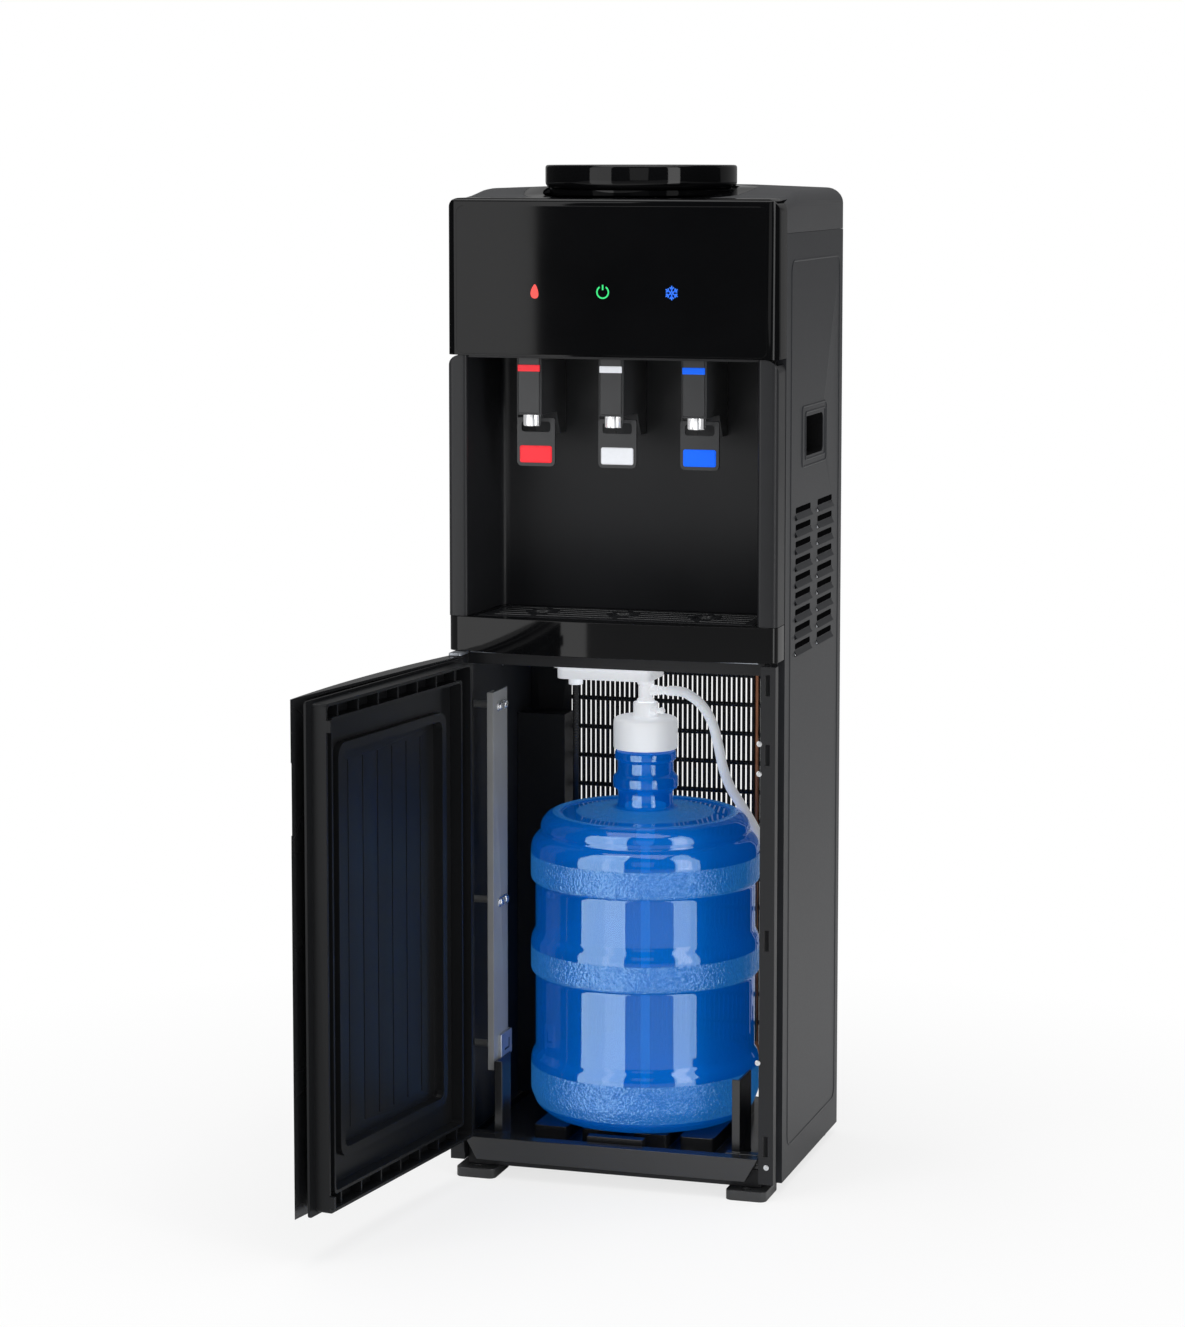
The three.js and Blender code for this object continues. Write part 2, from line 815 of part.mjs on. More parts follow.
// ---- base ----
const panHalf = half - sheet - seat;
function basePan() {
  const low = panelBottom;
  const outer = block(-panHalf, panHalf, 16, cabinetBack - sheet - seat, low, 30);
  const inner = block(-panHalf + sheet, panHalf - sheet, 16 + sheet, cabinetBack - 2 * sheet - seat, low + sheet, 31);
  const relief = block(postInner, panHalf + 1, 15, panelFront + sheet + seat, low - 1, 31);
  return outer.subtract(inner).subtract(relief).subtract(relief.mirror([1, 0, 0]));
}
place("base_pan", basePan(), zinc);

const padTop = bottleBase - seat;
// Plastic floor of the bay with pads that the bottle stands on, a stop and two side guides.
function baseTray() {
  const back = cabinetBack - 2 * sheet - 2 * seat;
  const front = 16 + sheet + seat;
  const low = panelBottom + sheet + seat;
  const outerX = postInner - seat;
  const floor = block(-outerX, outerX, front, back, low, baseFloor);
  const hollow = block(-outerX + 3, outerX - 3, front + 3, back - 3, low - 1, baseFloor - 3);
  const pieces = [];
  for (const [x0, x1] of [
    [-100, -62],
    [-46, -8],
    [12, 50],
    [64, 102],
  ]) {
    const pad = roundedOutline(x0, 48, x1, cabinetBack - 64, 5);
    pieces.push(carried(pad, "z", baseFloor - 1, padTop, 1));
  }
  pieces.push(block(-31, 31, 21, 33, baseFloor - 1, padTop));
  for (const side of [-1, 1]) {
    const guide = outlineOf([
      [side * guideInner, 26],
      [side * (guideInner + guideThickness), 26],
      [side * (guideInner + guideThickness), 74],
      [side * (guideInner + 6), 74],
      [side * (guideInner + 6), 29],
      [side * guideInner, 29],
    ]);
    pieces.push(carried(guide, "z", baseFloor - 1, 122));
    pieces.push(block(side > 0 ? guideInner - 6 : -outerX, side > 0 ? outerX : -guideInner + 6, 21, 33, baseFloor - 1, 44));
  }
  return floor.subtract(hollow).add(joined(pieces));
}
place("base_tray", baseTray(), satinBlack);

// Front cross beam between the posts, its lower ends raked.
function baseBeam() {
  const outer = postInner - seat;
  const outline = outlineOf([
    [beamBottom, -outer + 14],
    [beamTop, -outer],
    [beamTop, outer],
    [beamBottom, outer - 14],
  ]);
  return carried(outline, "y", beamFront, 16 - seat).subtract(
    block(-outer + 20, outer - 20, 4, 17, beamBottom - 1, beamTop - 4),
  );
}
place("base_beam", baseBeam(), satinBlack);

// A flat moulded foot with a rounded toe and a screw recess.
function frontFoot(side) {
  const x0 = side > 0 ? half - footInset - footWidth : footInset - half;
  const outline = roundedOutline(x0, -2, x0 + footWidth, 54, 7);
  const foot = carried(outline, "z", 0, footHeight, 2);
  return foot.subtract(rod(x0 + footWidth / 2, 8, footHeight - 3, footHeight + 1, 5, 16));
}
place("foot_front_left", frontFoot(-1), rubberBlack);
place("foot_front_right", frontFoot(1), rubberBlack);
for (const [name, x] of [
  ["foot_rear_left", 22 - half],
  ["foot_rear_right", half - 22],
]) {
  const profile = [
    [0, 0],
    [13, 0],
    [15, 2],
    [12, footHeight],
    [0, footHeight],
  ];
  place(name, turned(profile, x, cabinetBack - 24, 24), rubberBlack);
}

// ---- door hinges on the cabinet ----
const bracketThickness = 2.6;
const pinLength = 7;
function hingeTop() {
  const z = doorTop + 2 * seat;
  const plate = roundedOutline(doorPivotX - 6, doorPivotY - 6, doorPivotX + 8, headerFront - 2, 3);
  const pin = rod(doorPivotX, doorPivotY, doorTop - pinLength, z + 1, doorPinRadius, 16);
  return carried(plate, "z", z, z + bracketThickness, 3).add(pin);
}
function hingeBottom() {
  const z = doorBottom - 2 * seat - bracketThickness;
  const back = postFront - seat;
  const right = -postInner;
  const plate = roundedOutline(doorPivotX - 6, doorPivotY - 6, right, back, [4, 4, 0, 0]);
  const leg = block(doorPivotX - 6, right, back - 2.6, back, z - 16, z + 1);
  const pin = rod(doorPivotX, doorPivotY, z + 1, doorBottom + pinLength, doorPinRadius, 16);
  return carried(plate, "z", z, z + bracketThickness, 3).add(leg).add(pin);
}
place("hinge_bracket_top", hingeTop(), zinc);
place("hinge_bracket_bottom", hingeBottom(), zinc);

// ---- door, modelled shut and swung open about its pins ----
const door = new THREE.Group();
door.position.set(doorPivotX, doorPivotY, 0);
door.rotation.z = (-doorOpen * Math.PI) / 180;
machine.add(door);
const shut = (solid) => solid.translate([-doorPivotX, -doorPivotY, 0]);

const skinWall = 3;
const skinBack = -1;
// Lens-shaped outline of the door front seen from above.
function lens(inset) {
  const hw = doorHalfWidth - inset;
  const edge = doorEdgeFront + inset;
  const bow = doorBow;
  const radius = (hw * hw + bow * bow) / (2 * bow);
  const sweep = Math.asin(hw / radius);
  const shape = new THREE.Shape();
  shape.moveTo(hw, skinBack + (inset ? 5 : 0));
  shape.absarc(0, edge - bow + radius, radius, -Math.PI / 2 + sweep, -Math.PI / 2 - sweep, true);
  shape.lineTo(-hw, skinBack + (inset ? 5 : 0));
  return shape;
}
const gripLow = doorTop - 135;
const gripHigh = doorTop - 63;
function doorSkin() {
  const skin = carried(lens(0), "z", doorBottom, doorTop, 12);
  const hollow = carried(lens(skinWall), "z", doorBottom + skinWall, doorTop - skinWall, 12);
  let shell = skin.subtract(hollow);
  for (const z of [doorBottom, doorTop]) {
    const inwards = z === doorBottom ? 1 : -1;
    const low = Math.min(z, z + inwards * 12);
    shell = shell.add(rod(doorPivotX, doorPivotY, low, low + 12, 5, 16));
    const hole = rod(doorPivotX, doorPivotY, z - 10, z + 10, doorPinRadius + seat, 16);
    shell = shell.subtract(hole);
  }
  return shell.subtract(block(doorHalfWidth - 1.6, doorHalfWidth + 1, -30, skinBack - 3, gripLow, gripHigh));
}
place("door_skin", shut(doorSkin()), glossBlack, door);

const linerPlate = 2.5;
const ringHalf = doorHalfWidth - 15.5;
const ringLow = doorBottom + 5;
const ringHigh = doorTop - 5;
const ringWall = 3;
const ledge = 16; // width of the stepped ledge inside the rim
const beadHalf = ringHalf - 41;
const beadLow = doorBottom + 50;
const beadHigh = doorTop - 51;
const grooves = 6;
const groovePitch = 31;
const pocketPitch = 42;
// The liner: a plate on the back of the skin, a deep outer rim, stepped ledges with pockets top
// and bottom, a bead round a sunk panel, and upright grooves in that panel.
function doorLiner() {
  const y0 = skinBack + seat;
  const y1 = y0 + linerPlate;
  const frame = (hw, low, high, r) => roundedOutline(low, -hw, high, hw, r);
  const plate = carried(frame(doorHalfWidth - 4.5, doorBottom + 2, doorTop - 2, 3), "y", y0, y1, 2);
  const ring = (inset, r, from, to) =>
    carried(frame(ringHalf - inset, ringLow + inset, ringHigh - inset, r), "y", from, to, 2);
  const rimInner = ring(ledge, 4, y1 - 1, doorInner - 3).subtract(
    ring(ledge + ringWall, 4, y1 - 2, doorInner + 1),
  );
  const rim = ring(0, 5, y1 - 1, doorInner).subtract(ring(ringWall, 4, y1 - 2, doorInner + 1));
  const bead = carried(frame(beadHalf, beadLow, beadHigh, 14), "y", y1 - 1, y1 + 7, 3).subtract(
    carried(frame(beadHalf - 9, beadLow + 9, beadHigh - 9, 8), "y", y1 - 2, y1 + 8, 3),
  );
  const sunkBack = carried(frame(beadHalf - 6, beadLow + 6, beadHigh - 6, 8), "y", y0 - 4, y1, 2).subtract(
    carried(frame(beadHalf - 9, beadLow + 9, beadHigh - 9, 8), "y", y0 - 1.5, y1 + 1, 2),
  );
  const opening = carried(frame(beadHalf - 7, beadLow + 7, beadHigh - 7, 8), "y", y0 - 5, y1 + 1, 2);
  const ribs = [];
  const pocketRibs = Math.floor((ringHalf - ledge) / pocketPitch);
  for (const low of [ringLow + 1, ringHigh - ledge - 1]) {
    for (let i = -pocketRibs; i <= pocketRibs; i++) {
      const x = i * pocketPitch;
      ribs.push(block(x - 1.2, x + 1.2, y1 - 1, doorInner - 4, low, low + ledge));
    }
  }
  const panelGrooves = [];
  for (let i = 0; i < grooves; i++) {
    const x = (i - (grooves - 1) / 2) * groovePitch;
    panelGrooves.push(block(x - 1, x + 1, y0 - 2.3, y1, beadLow + 22, beadHigh - 22));
  }
  const hooks = [];
  for (const z of [slotHeights[0] + 4, slotHeights[3] - 8]) {
    hooks.push(block(ringHalf - 4, ringHalf, doorInner - 1, doorInner + 5, z - 6, z + 6));
  }
  return plate
    .subtract(opening)
    .add(sunkBack)
    .subtract(joined(panelGrooves))
    .add(rim)
    .add(rimInner)
    .add(bead)
    .add(joined(ribs))
    .add(joined(hooks));
}
place("door_liner", shut(doorLiner()), satinBlack, door);

// ---- bottle ----
const neckFlange = 37;
const bottleSegments = 20;
const heelHeight = 28;
const shoulderHeight = 130; // from the top of the straight wall to the mouth
const bandRise = 4.5; // how far the bands stand out from the waists
// Where each band starts and ends, as shares of the straight wall.
const bands = [
  [0, 0.18],
  [0.425, 0.655],
  [0.82, 1],
];
// Blown bottle: outer profile up from the base, through three bands and the shoulder to the neck.
function bottleOutline(inset) {
  const r = bottleRadius - inset;
  const waist = r - bandRise;
  const wallLow = bottleBase + heelHeight;
  const wallHeight = bottleHeight - heelHeight - shoulderHeight;
  const points = [
    [0, bottleBase + 6 + inset],
    [62, bottleBase + 6 + inset],
    [72, bottleBase + inset],
    [94 - inset / 2, bottleBase + inset],
    [112 - inset, bottleBase + 7 + inset / 2],
  ];
  bands.forEach(([start, end], i) => {
    const low = wallLow + start * wallHeight;
    const high = wallLow + end * wallHeight;
    if (i > 0) {
      points.push([waist, low - 6]);
    }
    points.push([r, low], [r, high]);
    if (i < bands.length - 1) {
      points.push([waist, high + 6]);
    }
  });
  points.push(
    [r - 5, neckTop - 119],
    [r - 20, neckTop - 105 - inset / 2],
    [r - 52, neckTop - 87 - inset],
    [neckFlange - inset, neckTop - 75 - inset],
    [neckFlange - inset, neckTop - 63],
    [neckRadius + 3 - inset, neckTop - 61],
    [neckRadius + 3 - inset, neckTop - 50],
    [capRadius - 1 - inset, neckTop - 49],
    [capRadius - 1 - inset, neckTop - 38],
    [neckRadius - inset, neckTop - 36],
    [neckRadius - inset, neckTop],
  );
  return points;
}
function bottle() {
  const outer = bottleOutline(0);
  const inner = bottleOutline(bottleWall);
  return turned([...outer, ...inner.reverse()], 0, bottleAxisY, bottleSegments);
}
place("bottle", bottle(), bottleBlue);

// White screw cap with its stem collar.
function bottleCap() {
  const bore = neckRadius + seat;
  return turned(
    [
      [bore, capBottom],
      [capRadius - 1, capBottom],
      [capRadius, capBottom + 1.5],
      [capRadius, capTop - 3],
      [capRadius - 3, capTop],
      [stemRadius, capTop],
      [stemRadius, stemTop],
      [0, stemTop],
      [0, neckTop + seat],
      [bore, neckTop + seat],
      [bore, capBottom],
    ],
    0,
    bottleAxisY,
    bottleSegments,
  );
}
place("bottle_cap", bottleCap(), whitePlastic);

// Suction tube with its guide disc, hanging from the cap into the bottle.
function probeTube() {
  return turned(
    [
      [0, bottleBase + 12],
      [5, bottleBase + 12],
      [5, neckTop - 96],
      [10.5, neckTop - 94],
      [10.5, neckTop - 85],
      [23, neckTop - 83],
      [23, neckTop - 78],
      [8, neckTop - 76],
      [8, neckTop - 60],
      [5.5, neckTop - 58],
      [5.5, neckTop],
      [0, neckTop],
    ],
    0,
    bottleAxisY,
    12,
  );
}
place("probe_tube", probeTube(), whitePlastic);

// ---- water line ----
const bossX = -77;
const bossY = bottleAxisY - 8;
const bossBottom = pumpHousingBottom - 9;
// White housing of the sensing unit under the bay's ceiling, with a boss on its underside.
function pumpHousing() {
  const outline = roundedOutline(-92, bottleAxisY - 34, 14, bottleAxisY + 30, 9);
  const body = carried(outline, "z", pumpHousingBottom, bayCeiling, 2);
  const step = carried(
    roundedOutline(-96, bottleAxisY - 38, 18, bottleAxisY + 34, 11),
    "z",
    pumpHousingBottom + 12,
    bayCeiling,
    2,
  );
  return body.add(step).add(rod(bossX, bossY, bossBottom, pumpHousingBottom + 1, 8, 12));
}
place("pump_housing", pumpHousing(), whitePlastic);

const barbZ = stemTop + 13;
// Tee between the housing and the cap, with a hose barb to the right and a small relief valve.
function teeFitting() {
  const low = stemTop + seat;
  const top = pumpHousingBottom - seat;
  const body = rod(0, bottleAxisY, low, top, 10.5, 16);
  const barb = crossRod("x", 0, 24, bottleAxisY, barbZ, 4.6, 4);
  const collar = crossRod("x", 8, 15, bottleAxisY, barbZ, 7, 5);
  const valve = crossRod("x", 4, 19, bottleAxisY - 12, low + 5, 3.6, 3);
  const stub = crossRod("y", bottleAxisY - 14, bottleAxisY, low + 5, 4, 3.4, 3);
  return joined([body, barb, collar, valve, stub]);
}
place("tee_fitting", teeFitting(), whitePlastic);

const hosePump = [half - 48, cabinetBack - 46]; // where the hose comes down on the transfer pump
const transferTop = 150;
const outletZ = transferTop - 38;
const outletRadius = 5;
function supplyHose() {
  const end = 24 + seat;
  return tubeAlong(
    [
      [end, bottleAxisY, barbZ],
      [end + 12, bottleAxisY, barbZ],
      [46, 141, 514],
      [60, 147, 502],
      [70, 155, 482],
      [75, 163, 456],
      [78, 172, 430],
      [83, 185, 406],
      [92, 202, 382],
      [104, 220, 350],
      [117, 234, 300],
      [127, 242, 240],
      [hosePump[0], hosePump[1], 180],
      [hosePump[0], hosePump[1], 162],
      [hosePump[0], hosePump[1], transferTop + seat],
    ],
    hoseRadius,
    8,
    28,
  );
}
place("supply_hose", supplyHose(), whitePlastic);

function transferPump() {
  const [x, y] = hosePump;
  const body = turned(
    [
      [0, baseFloor + seat],
      [20, baseFloor + seat],
      [20, transferTop - 62],
      [22, transferTop - 58],
      [22, transferTop - 28],
      [18, transferTop - 20],
      [7, transferTop - 18],
      [7, transferTop],
      [0, transferTop],
    ],
    x,
    y,
    16,
  );
  return body.add(crossRod("x", x, deliveryX + 10, y, outletZ, outletRadius, 4));
}
place("transfer_pump", transferPump(), satinBlack);

// ---- float lead ----
const ductX0 = -(half - sheet - seat);
const ductFront = cabinetBack - 60;
const conduitRibs = 40;
const ribRadius = 3.4;
const grooveRadius = 2.6;
const conduitBore = 1.8;
const conduitSides = 8;
const conduitRoute = [
  [bossX, bossY, bossBottom - seat],
  [bossX, bossY, 500],
  [-77.5, 131.5, 478],
  [-79.5, 138, 452],
  [-84, 152, 430],
  [-90, 172, 408],
  [-96.5, 192, 385],
  [-102, 204, 366],
  [-110, 212, 346],
  [-118, 215, 328],
  [-125, 216.5, 312],
  [-128.5, 219.5, 300],
  [-129.5, 225, 294.5],
  [-129.5, ductFront - 2 * seat, 293],
];
// Ribbed sleeve of the float's lead: outer rings that swell at each rib, then the rings of the
// bore back to the start, all round one curve from the housing's boss to the wiring channel.
function sensorConduit() {
  const path = new THREE.CatmullRomCurve3(
    conduitRoute.map((point) => new THREE.Vector3(...point)),
    false,
    "centripetal",
  );
  const steps = conduitRibs * 2;
  const frames = path.computeFrenetFrames(steps, false);
  const rings = [];
  for (let step = 0; step <= steps; step++) {
    rings.push([step, step % 2 ? ribRadius : grooveRadius]);
  }
  for (let step = steps; step >= 0; step -= 10) {
    rings.push([step, conduitBore]);
  }
  const corners = [];
  for (const [step, radius] of rings) {
    const centre = path.getPointAt(step / steps);
    for (let side = 0; side < conduitSides; side++) {
      const angle = (side / conduitSides) * Math.PI * 2;
      const corner = centre
        .clone()
        .addScaledVector(frames.normals[step], Math.cos(angle) * radius)
        .addScaledVector(frames.binormals[step], Math.sin(angle) * radius);
      corners.push(corner.x, corner.y, corner.z);
    }
  }
  const faces = [];
  for (let ring = 0; ring < rings.length; ring++) {
    const next = (ring + 1) % rings.length;
    for (let side = 0; side < conduitSides; side++) {
      const turn = (side + 1) % conduitSides;
      const a = ring * conduitSides + side;
      const b = ring * conduitSides + turn;
      const c = next * conduitSides + side;
      const d = next * conduitSides + turn;
      faces.push(a, b, c, b, d, c);
    }
  }
  const geometry = new THREE.BufferGeometry();
  geometry.setAttribute("position", new THREE.Float32BufferAttribute(corners, 3));
  geometry.setIndex(faces);
  return solidFrom(geometry);
}
place("sensor_conduit", sensorConduit(), rubberBlack);

// ---- rear ----
const rearInside = cabinetBack - sheet - seat;
const switchX = 104;
const switchZ = panelTop - 109;
const rockerPitch = 24;
const drainZ = shelfTop + 84.3;
const glandX = -118;
const glandZ = shelfTop + 41.3;
const glandRadius = 6.5;
const ventLow = shelfTop + 119.3;
const ventPitch = 16;
const ventRows = 5;

// Flat rear sheet over the upper half, with vents by the compressor and three openings.
function rearPanel() {
  const front = rearInside - sheet;
  let plate = block(-shelfHalf, shelfHalf, front, rearInside, shelfTop + seat, panelTop - 1);
  const cuts = [block(switchX - 14, switchX + 14, front - 1, rearInside + 1, switchZ - 26, switchZ + 26)];
  cuts.push(crossRod("y", front - 1, rearInside + 1, drainZ, 0, 10 + seat, 5));
  cuts.push(crossRod("y", front - 1, rearInside + 1, glandZ, glandX, glandRadius + seat, 5));
  for (let row = 0; row < ventRows; row++) {
    const z = ventLow + row * ventPitch;
    cuts.push(block(-60, 60, front - 1, rearInside + 1, z, z + 6));
  }
  plate = plate.subtract(joined(cuts));
  return plate;
}
place("rear_panel", rearPanel(), greySteel);

// Housing of the two rear switches, with a well for each rocker.
function switchPlate() {
  const flange = block(
    switchX - 18,
    switchX + 18,
    rearInside + seat,
    cabinetBack + 2,
    switchZ - 30,
    switchZ + 30,
  );
  const body = block(switchX - 13, switchX + 13, rearInside - 18, rearInside + 1, switchZ - 25, switchZ + 25);
  const wells = [-1, 1].map((side) => {
    const z = switchZ + (side * rockerPitch) / 2;
    return block(switchX - 9, switchX + 9, rearInside - 9, cabinetBack + 3, z - 10.5, z + 10.5);
  });
  return flange.add(body).subtract(joined(wells));
}
place("switch_plate", switchPlate(), rubberBlack);

// A see-saw switch: a shallow V of a back on a round pivot.
function rocker(z) {
  const y = rearInside - 2;
  const outline = outlineOf([
    [y - 2, z - 8],
    [y + 3.5, z - 9],
    [y + 1.6, z],
    [y + 3.5, z + 9],
    [y - 2, z + 8],
    [y - 6, z + 2],
    [y - 6, z - 2],
  ]);
  return carried(outline, "x", switchX - 8.7, switchX + 8.7);
}
place("rocker_cold", rocker(switchZ - rockerPitch / 2), glossBlack);
place("rocker_hot", rocker(switchZ + rockerPitch / 2), glossBlack);

// Drain spout through the rear sheet with a grooved cap.
function drainCap() {
  const front = rearInside - sheet;
  return joined([
    crossRod("y", front - 10, rearInside + 4, drainZ, 0, 10, 3),
    crossRod("y", rearInside + seat, rearInside + 3, drainZ, 0, 15, 3),
    crossRod("y", rearInside + 3, rearInside + 18, drainZ, 0, 12.5, 3),
    crossRod("y", front - 3, front - seat, drainZ, 0, 14, 3),
  ]);
}
place("drain_cap", drainCap(), rubberBlack);

// Bushing for the supply cord: a flange each side of the sheet and a clear bore.
function cordGland() {
  const front = rearInside - sheet;
  const bush = joined([
    crossRod("y", front - 4, rearInside + 6, glandZ, glandX, glandRadius, 3),
    crossRod("y", rearInside + seat, rearInside + 3, glandZ, glandX, 10, 3),
    crossRod("y", front - 3, front - seat, glandZ, glandX, 9, 3),
  ]);
  return bush.subtract(crossRod("y", front - 6, rearInside + 8, glandZ, glandX, 3.8, 3));
}
place("cord_gland", cordGland(), rubberBlack);

// ---- refrigeration ----
const behindNiche = (nicheBackY + cabinetBack) / 2; // middle of the room behind the niche
const compressorX = -22;
const compressorY = behindNiche + 3;
const compressorRadius = 64;
const compressorHeight = 150;
const mountTop = shelfTop + seat + 7;

// Steel foot plate on four rubber grommets.
function compressorMount() {
  const plate = block(compressorX - 58, compressorX + 58, compressorY - 52, compressorY + 52, mountTop - 3, mountTop);
  const grommets = [];
  for (const dx of [-48, 48]) {
    for (const dy of [-42, 42]) {
      grommets.push(rod(compressorX + dx, compressorY + dy, shelfTop + seat, mountTop - 2, 8, 10));
    }
  }
  return plate.add(joined(grommets)).subtract(rod(compressorX, compressorY, mountTop - 5, mountTop + 1, 24, 12));
}
place("compressor_mount", compressorMount(), rubberBlack);

// Two drawn half shells welded at a waist, open at a hole in the underside.
function compressor() {
  const low = mountTop + seat;
  const top = low + compressorHeight;
  const waist = (low + top) / 2 - 1.5;
  const r = compressorRadius;
  return turned(
    [
      [20, low],
      [48, low],
      [r - 3, low + 14],
      [r - 1, waist - 3.5],
      [r + 3, waist - 2.5],
      [r + 3, waist + 2.5],
      [r - 1, waist + 3.5],
      [r - 4, top - 28],
      [r - 20, top - 8],
      [0, top],
      [0, top - 4],
      [r - 22, top - 12],
      [r - 8, top - 32],
      [r - 7, low + 18],
      [46, low + 4],
      [20, low + 4],
      [20, low],
    ],
    compressorX,
    compressorY,
    18,
  );
}
place("compressor", compressor(), rubberBlack);

const tankShelfZ = mountTop + compressorHeight + 16;
const suctionX = 76;
const suctionY = cabinetBack - 48;
// Upper shelf under the two tanks.
function tankShelf() {
  const front = nicheBackY + nicheWall + seat;
  const back = rearInside - sheet - seat;
  return block(-shelfHalf, shelfHalf, front, back, tankShelfZ - sheet, tankShelfZ)
    .subtract(rod(suctionX, suctionY, tankShelfZ - 5, tankShelfZ + 5, 6, 10))
    .subtract(rod(deliveryX, rearLineY - 14, tankShelfZ - 5, tankShelfZ + 5, 7, 10));
}
place("tank_shelf", tankShelf(), zinc);

const foamWall = 12;
const coldX = -55;
const coldY = behindNiche + 2;
const coldRadius = (cabinetBack - nicheBackY) / 2 - foamWall - 9;
const coldHalf = coldRadius + foamWall;
const coldFloor = tankShelfZ + 18;
const coldTop = panelTop - 10;
const hotX = 112;
const hotY = 180;
const hotRadius = 38;
const hotTop = coldTop - 74;
const hotMouth = 9;
const tankSegments = 18;
// Foam jacket round the cold tank.
function tankInsulation() {
  const outline = roundedOutline(
    coldX - coldHalf,
    coldY - coldHalf,
    coldX + coldHalf,
    coldY + coldHalf,
    24,
  );
  return carried(outline, "z", tankShelfZ + seat, coldTop - 6, 3).subtract(
    rod(coldX, coldY, coldFloor, coldTop, coldRadius + seat, tankSegments),
  );
}
place("tank_insulation", tankInsulation(), foam);

function openTank(x, y, radius, low, top, mouth) {
  const wall = 1.5;
  return turned(
    [
      [0, low],
      [radius, low],
      [radius, top],
      [mouth, top],
      [mouth, top - wall],
      [radius - wall, top - wall],
      [radius - wall, low + wall],
      [0, low + wall],
    ],
    x,
    y,
    tankSegments,
  );
}
const coldTank = openTank(coldX, coldY, coldRadius, coldFloor + seat, coldTop, coldRadius - 5);
place("cold_tank", coldTank, stainless);
const hotTank = openTank(hotX, hotY, hotRadius, tankShelfZ + seat, hotTop, hotMouth);
place("hot_tank", hotTank, stainless);

// Copper suction line from the cold tank's jacket down to the compressor.
function suctionLine() {
  const start = compressorX + compressorRadius + 0.7;
  const end = coldX + coldHalf + seat;
  return tubeAlong(
    [
      [start, compressorY, mountTop + 48],
      [start + 12, compressorY, mountTop + 48],
      [suctionX - 8, compressorY + 5, mountTop + 54],
      [suctionX, suctionY - 18, mountTop + 82],
      [suctionX, suctionY, tankShelfZ - 44],
      [suctionX, suctionY, tankShelfZ],
      [suctionX, suctionY, tankShelfZ + 46],
      [suctionX - 10, suctionY, tankShelfZ + 68],
      [suctionX - 28, suctionY, tankShelfZ + 76],
      [end, suctionY, tankShelfZ + 76],
    ],
    3.2,
    6,
    18,
  );
}
place("suction_line", suctionLine(), copper);

const wireBack = condenserY + condenserTube - 0.4;
// Wire-on-tube condenser: one serpentine tube with upright wires welded across its runs.
function condenser() {
  const parts = [];
  const radius = condenserPitch / 2;
  for (let run = 0; run < condenserRuns; run++) {
    const z = condenserBottom + run * condenserPitch;
    parts.push(crossRod("x", -condenserHalfWidth, condenserHalfWidth, condenserY, z, condenserTube, 1.5));
    if (run < condenserRuns - 1) {
      const side = run % 2 ? -1 : 1;
      const bend = [];
      for (let step = 0; step <= 4; step++) {
        const angle = (step / 4) * Math.PI;
        bend.push([
          side * (condenserHalfWidth - 1 + Math.sin(angle) * radius),
          condenserY,
          z + radius - Math.cos(angle) * radius,
        ]);
      }
      parts.push(tubeAlong(bend, condenserTube, 6, 4));
    }
  }
  const top = condenserBottom + (condenserRuns - 1) * condenserPitch;
  for (let wire = 0; wire < condenserWires; wire++) {
    const x = (wire / (condenserWires - 1) - 0.5) * 2 * (condenserHalfWidth - 6);
    const w = wireSize / 2;
    parts.push(block(x - w, x + w, wireBack, wireBack + wireSize, condenserBottom - 8, top + 8));
  }
  for (const run of [1, condenserRuns - 2]) {
    const z = condenserBottom + run * condenserPitch;
    for (const side of [-1, 1]) {
      const inner = side * (condenserHalfWidth - 4);
      const outer = side * (half - 6);
      const low = Math.min(inner, outer);
      parts.push(block(low, Math.max(inner, outer), cabinetBack + seat, condenserY - 1, z - 5, z + 5));
    }
  }
  return joined(parts);
}
place("condenser", condenser(), rubberBlack);

// Copper line from the compressor through the shelf and down to the condenser's lowest run.
function dischargeLine() {
  const start = compressorX + compressorRadius + 0.7;
  const end = condenserY - condenserTube - seat;
  return tubeAlong(
    [
      [start, compressorY + 6, mountTop + 18],
      [start + 10, compressorY + 8, mountTop + 18],
      [lineHoleX - 22, compressorY + 23, mountTop + 16],
      [lineHoleX - 6, rearLineY - 25, mountTop + 12],
      [lineHoleX, rearLineY - 3, shelfTop + 11],
      [lineHoleX, rearLineY, shelfTop - 3],
      [lineHoleX, rearLineY, shelfTop - 30],
      [lineHoleX, rearLineY, condenserBottom + 26],
      [lineHoleX, rearLineY + 1, condenserBottom + 14],
      [lineHoleX, rearLineY + 6, condenserBottom + 1],
      [lineHoleX, end, condenserBottom],
    ],
    2.4,
    6,
    24,
  );
}
place("discharge_line", dischargeLine(), copper);

// Clear delivery tube from the transfer pump up to the open top of the cold tank.
function deliveryTube() {
  const y = rearLineY - 14;
  return tubeAlong(
    [
      [deliveryX, hosePump[1], outletZ + outletRadius + seat],
      [deliveryX, hosePump[1], transferTop],
      [deliveryX, hosePump[1] + 4, transferTop + 40],
      [deliveryX, y, transferTop + 130],
      [deliveryX, y, shelfTop - 150],
      [deliveryX, y, shelfTop],
      [deliveryX, y, tankShelfZ],
      [deliveryX, y, hotTop],
      [deliveryX - 24, y - 6, coldTop - 14],
      [deliveryX - 60, y - 16, coldTop + 14],
      [coldX + 105, coldY + 33, coldTop + 20],
      [coldX + 61, coldY + 19, coldTop + 12],
      [coldX + 49, coldY + 11, coldTop - 4],
      [coldX + 49, coldY + 9, coldTop - 24],
    ],
    4,
    6,
    26,
  );
}
place("delivery_tube", deliveryTube(), whitePlastic);

// ---- electrics ----
const lightZ = bezelBottom + 67.5;
const lightSpacing = 74.4;
const boardHeight = 40;
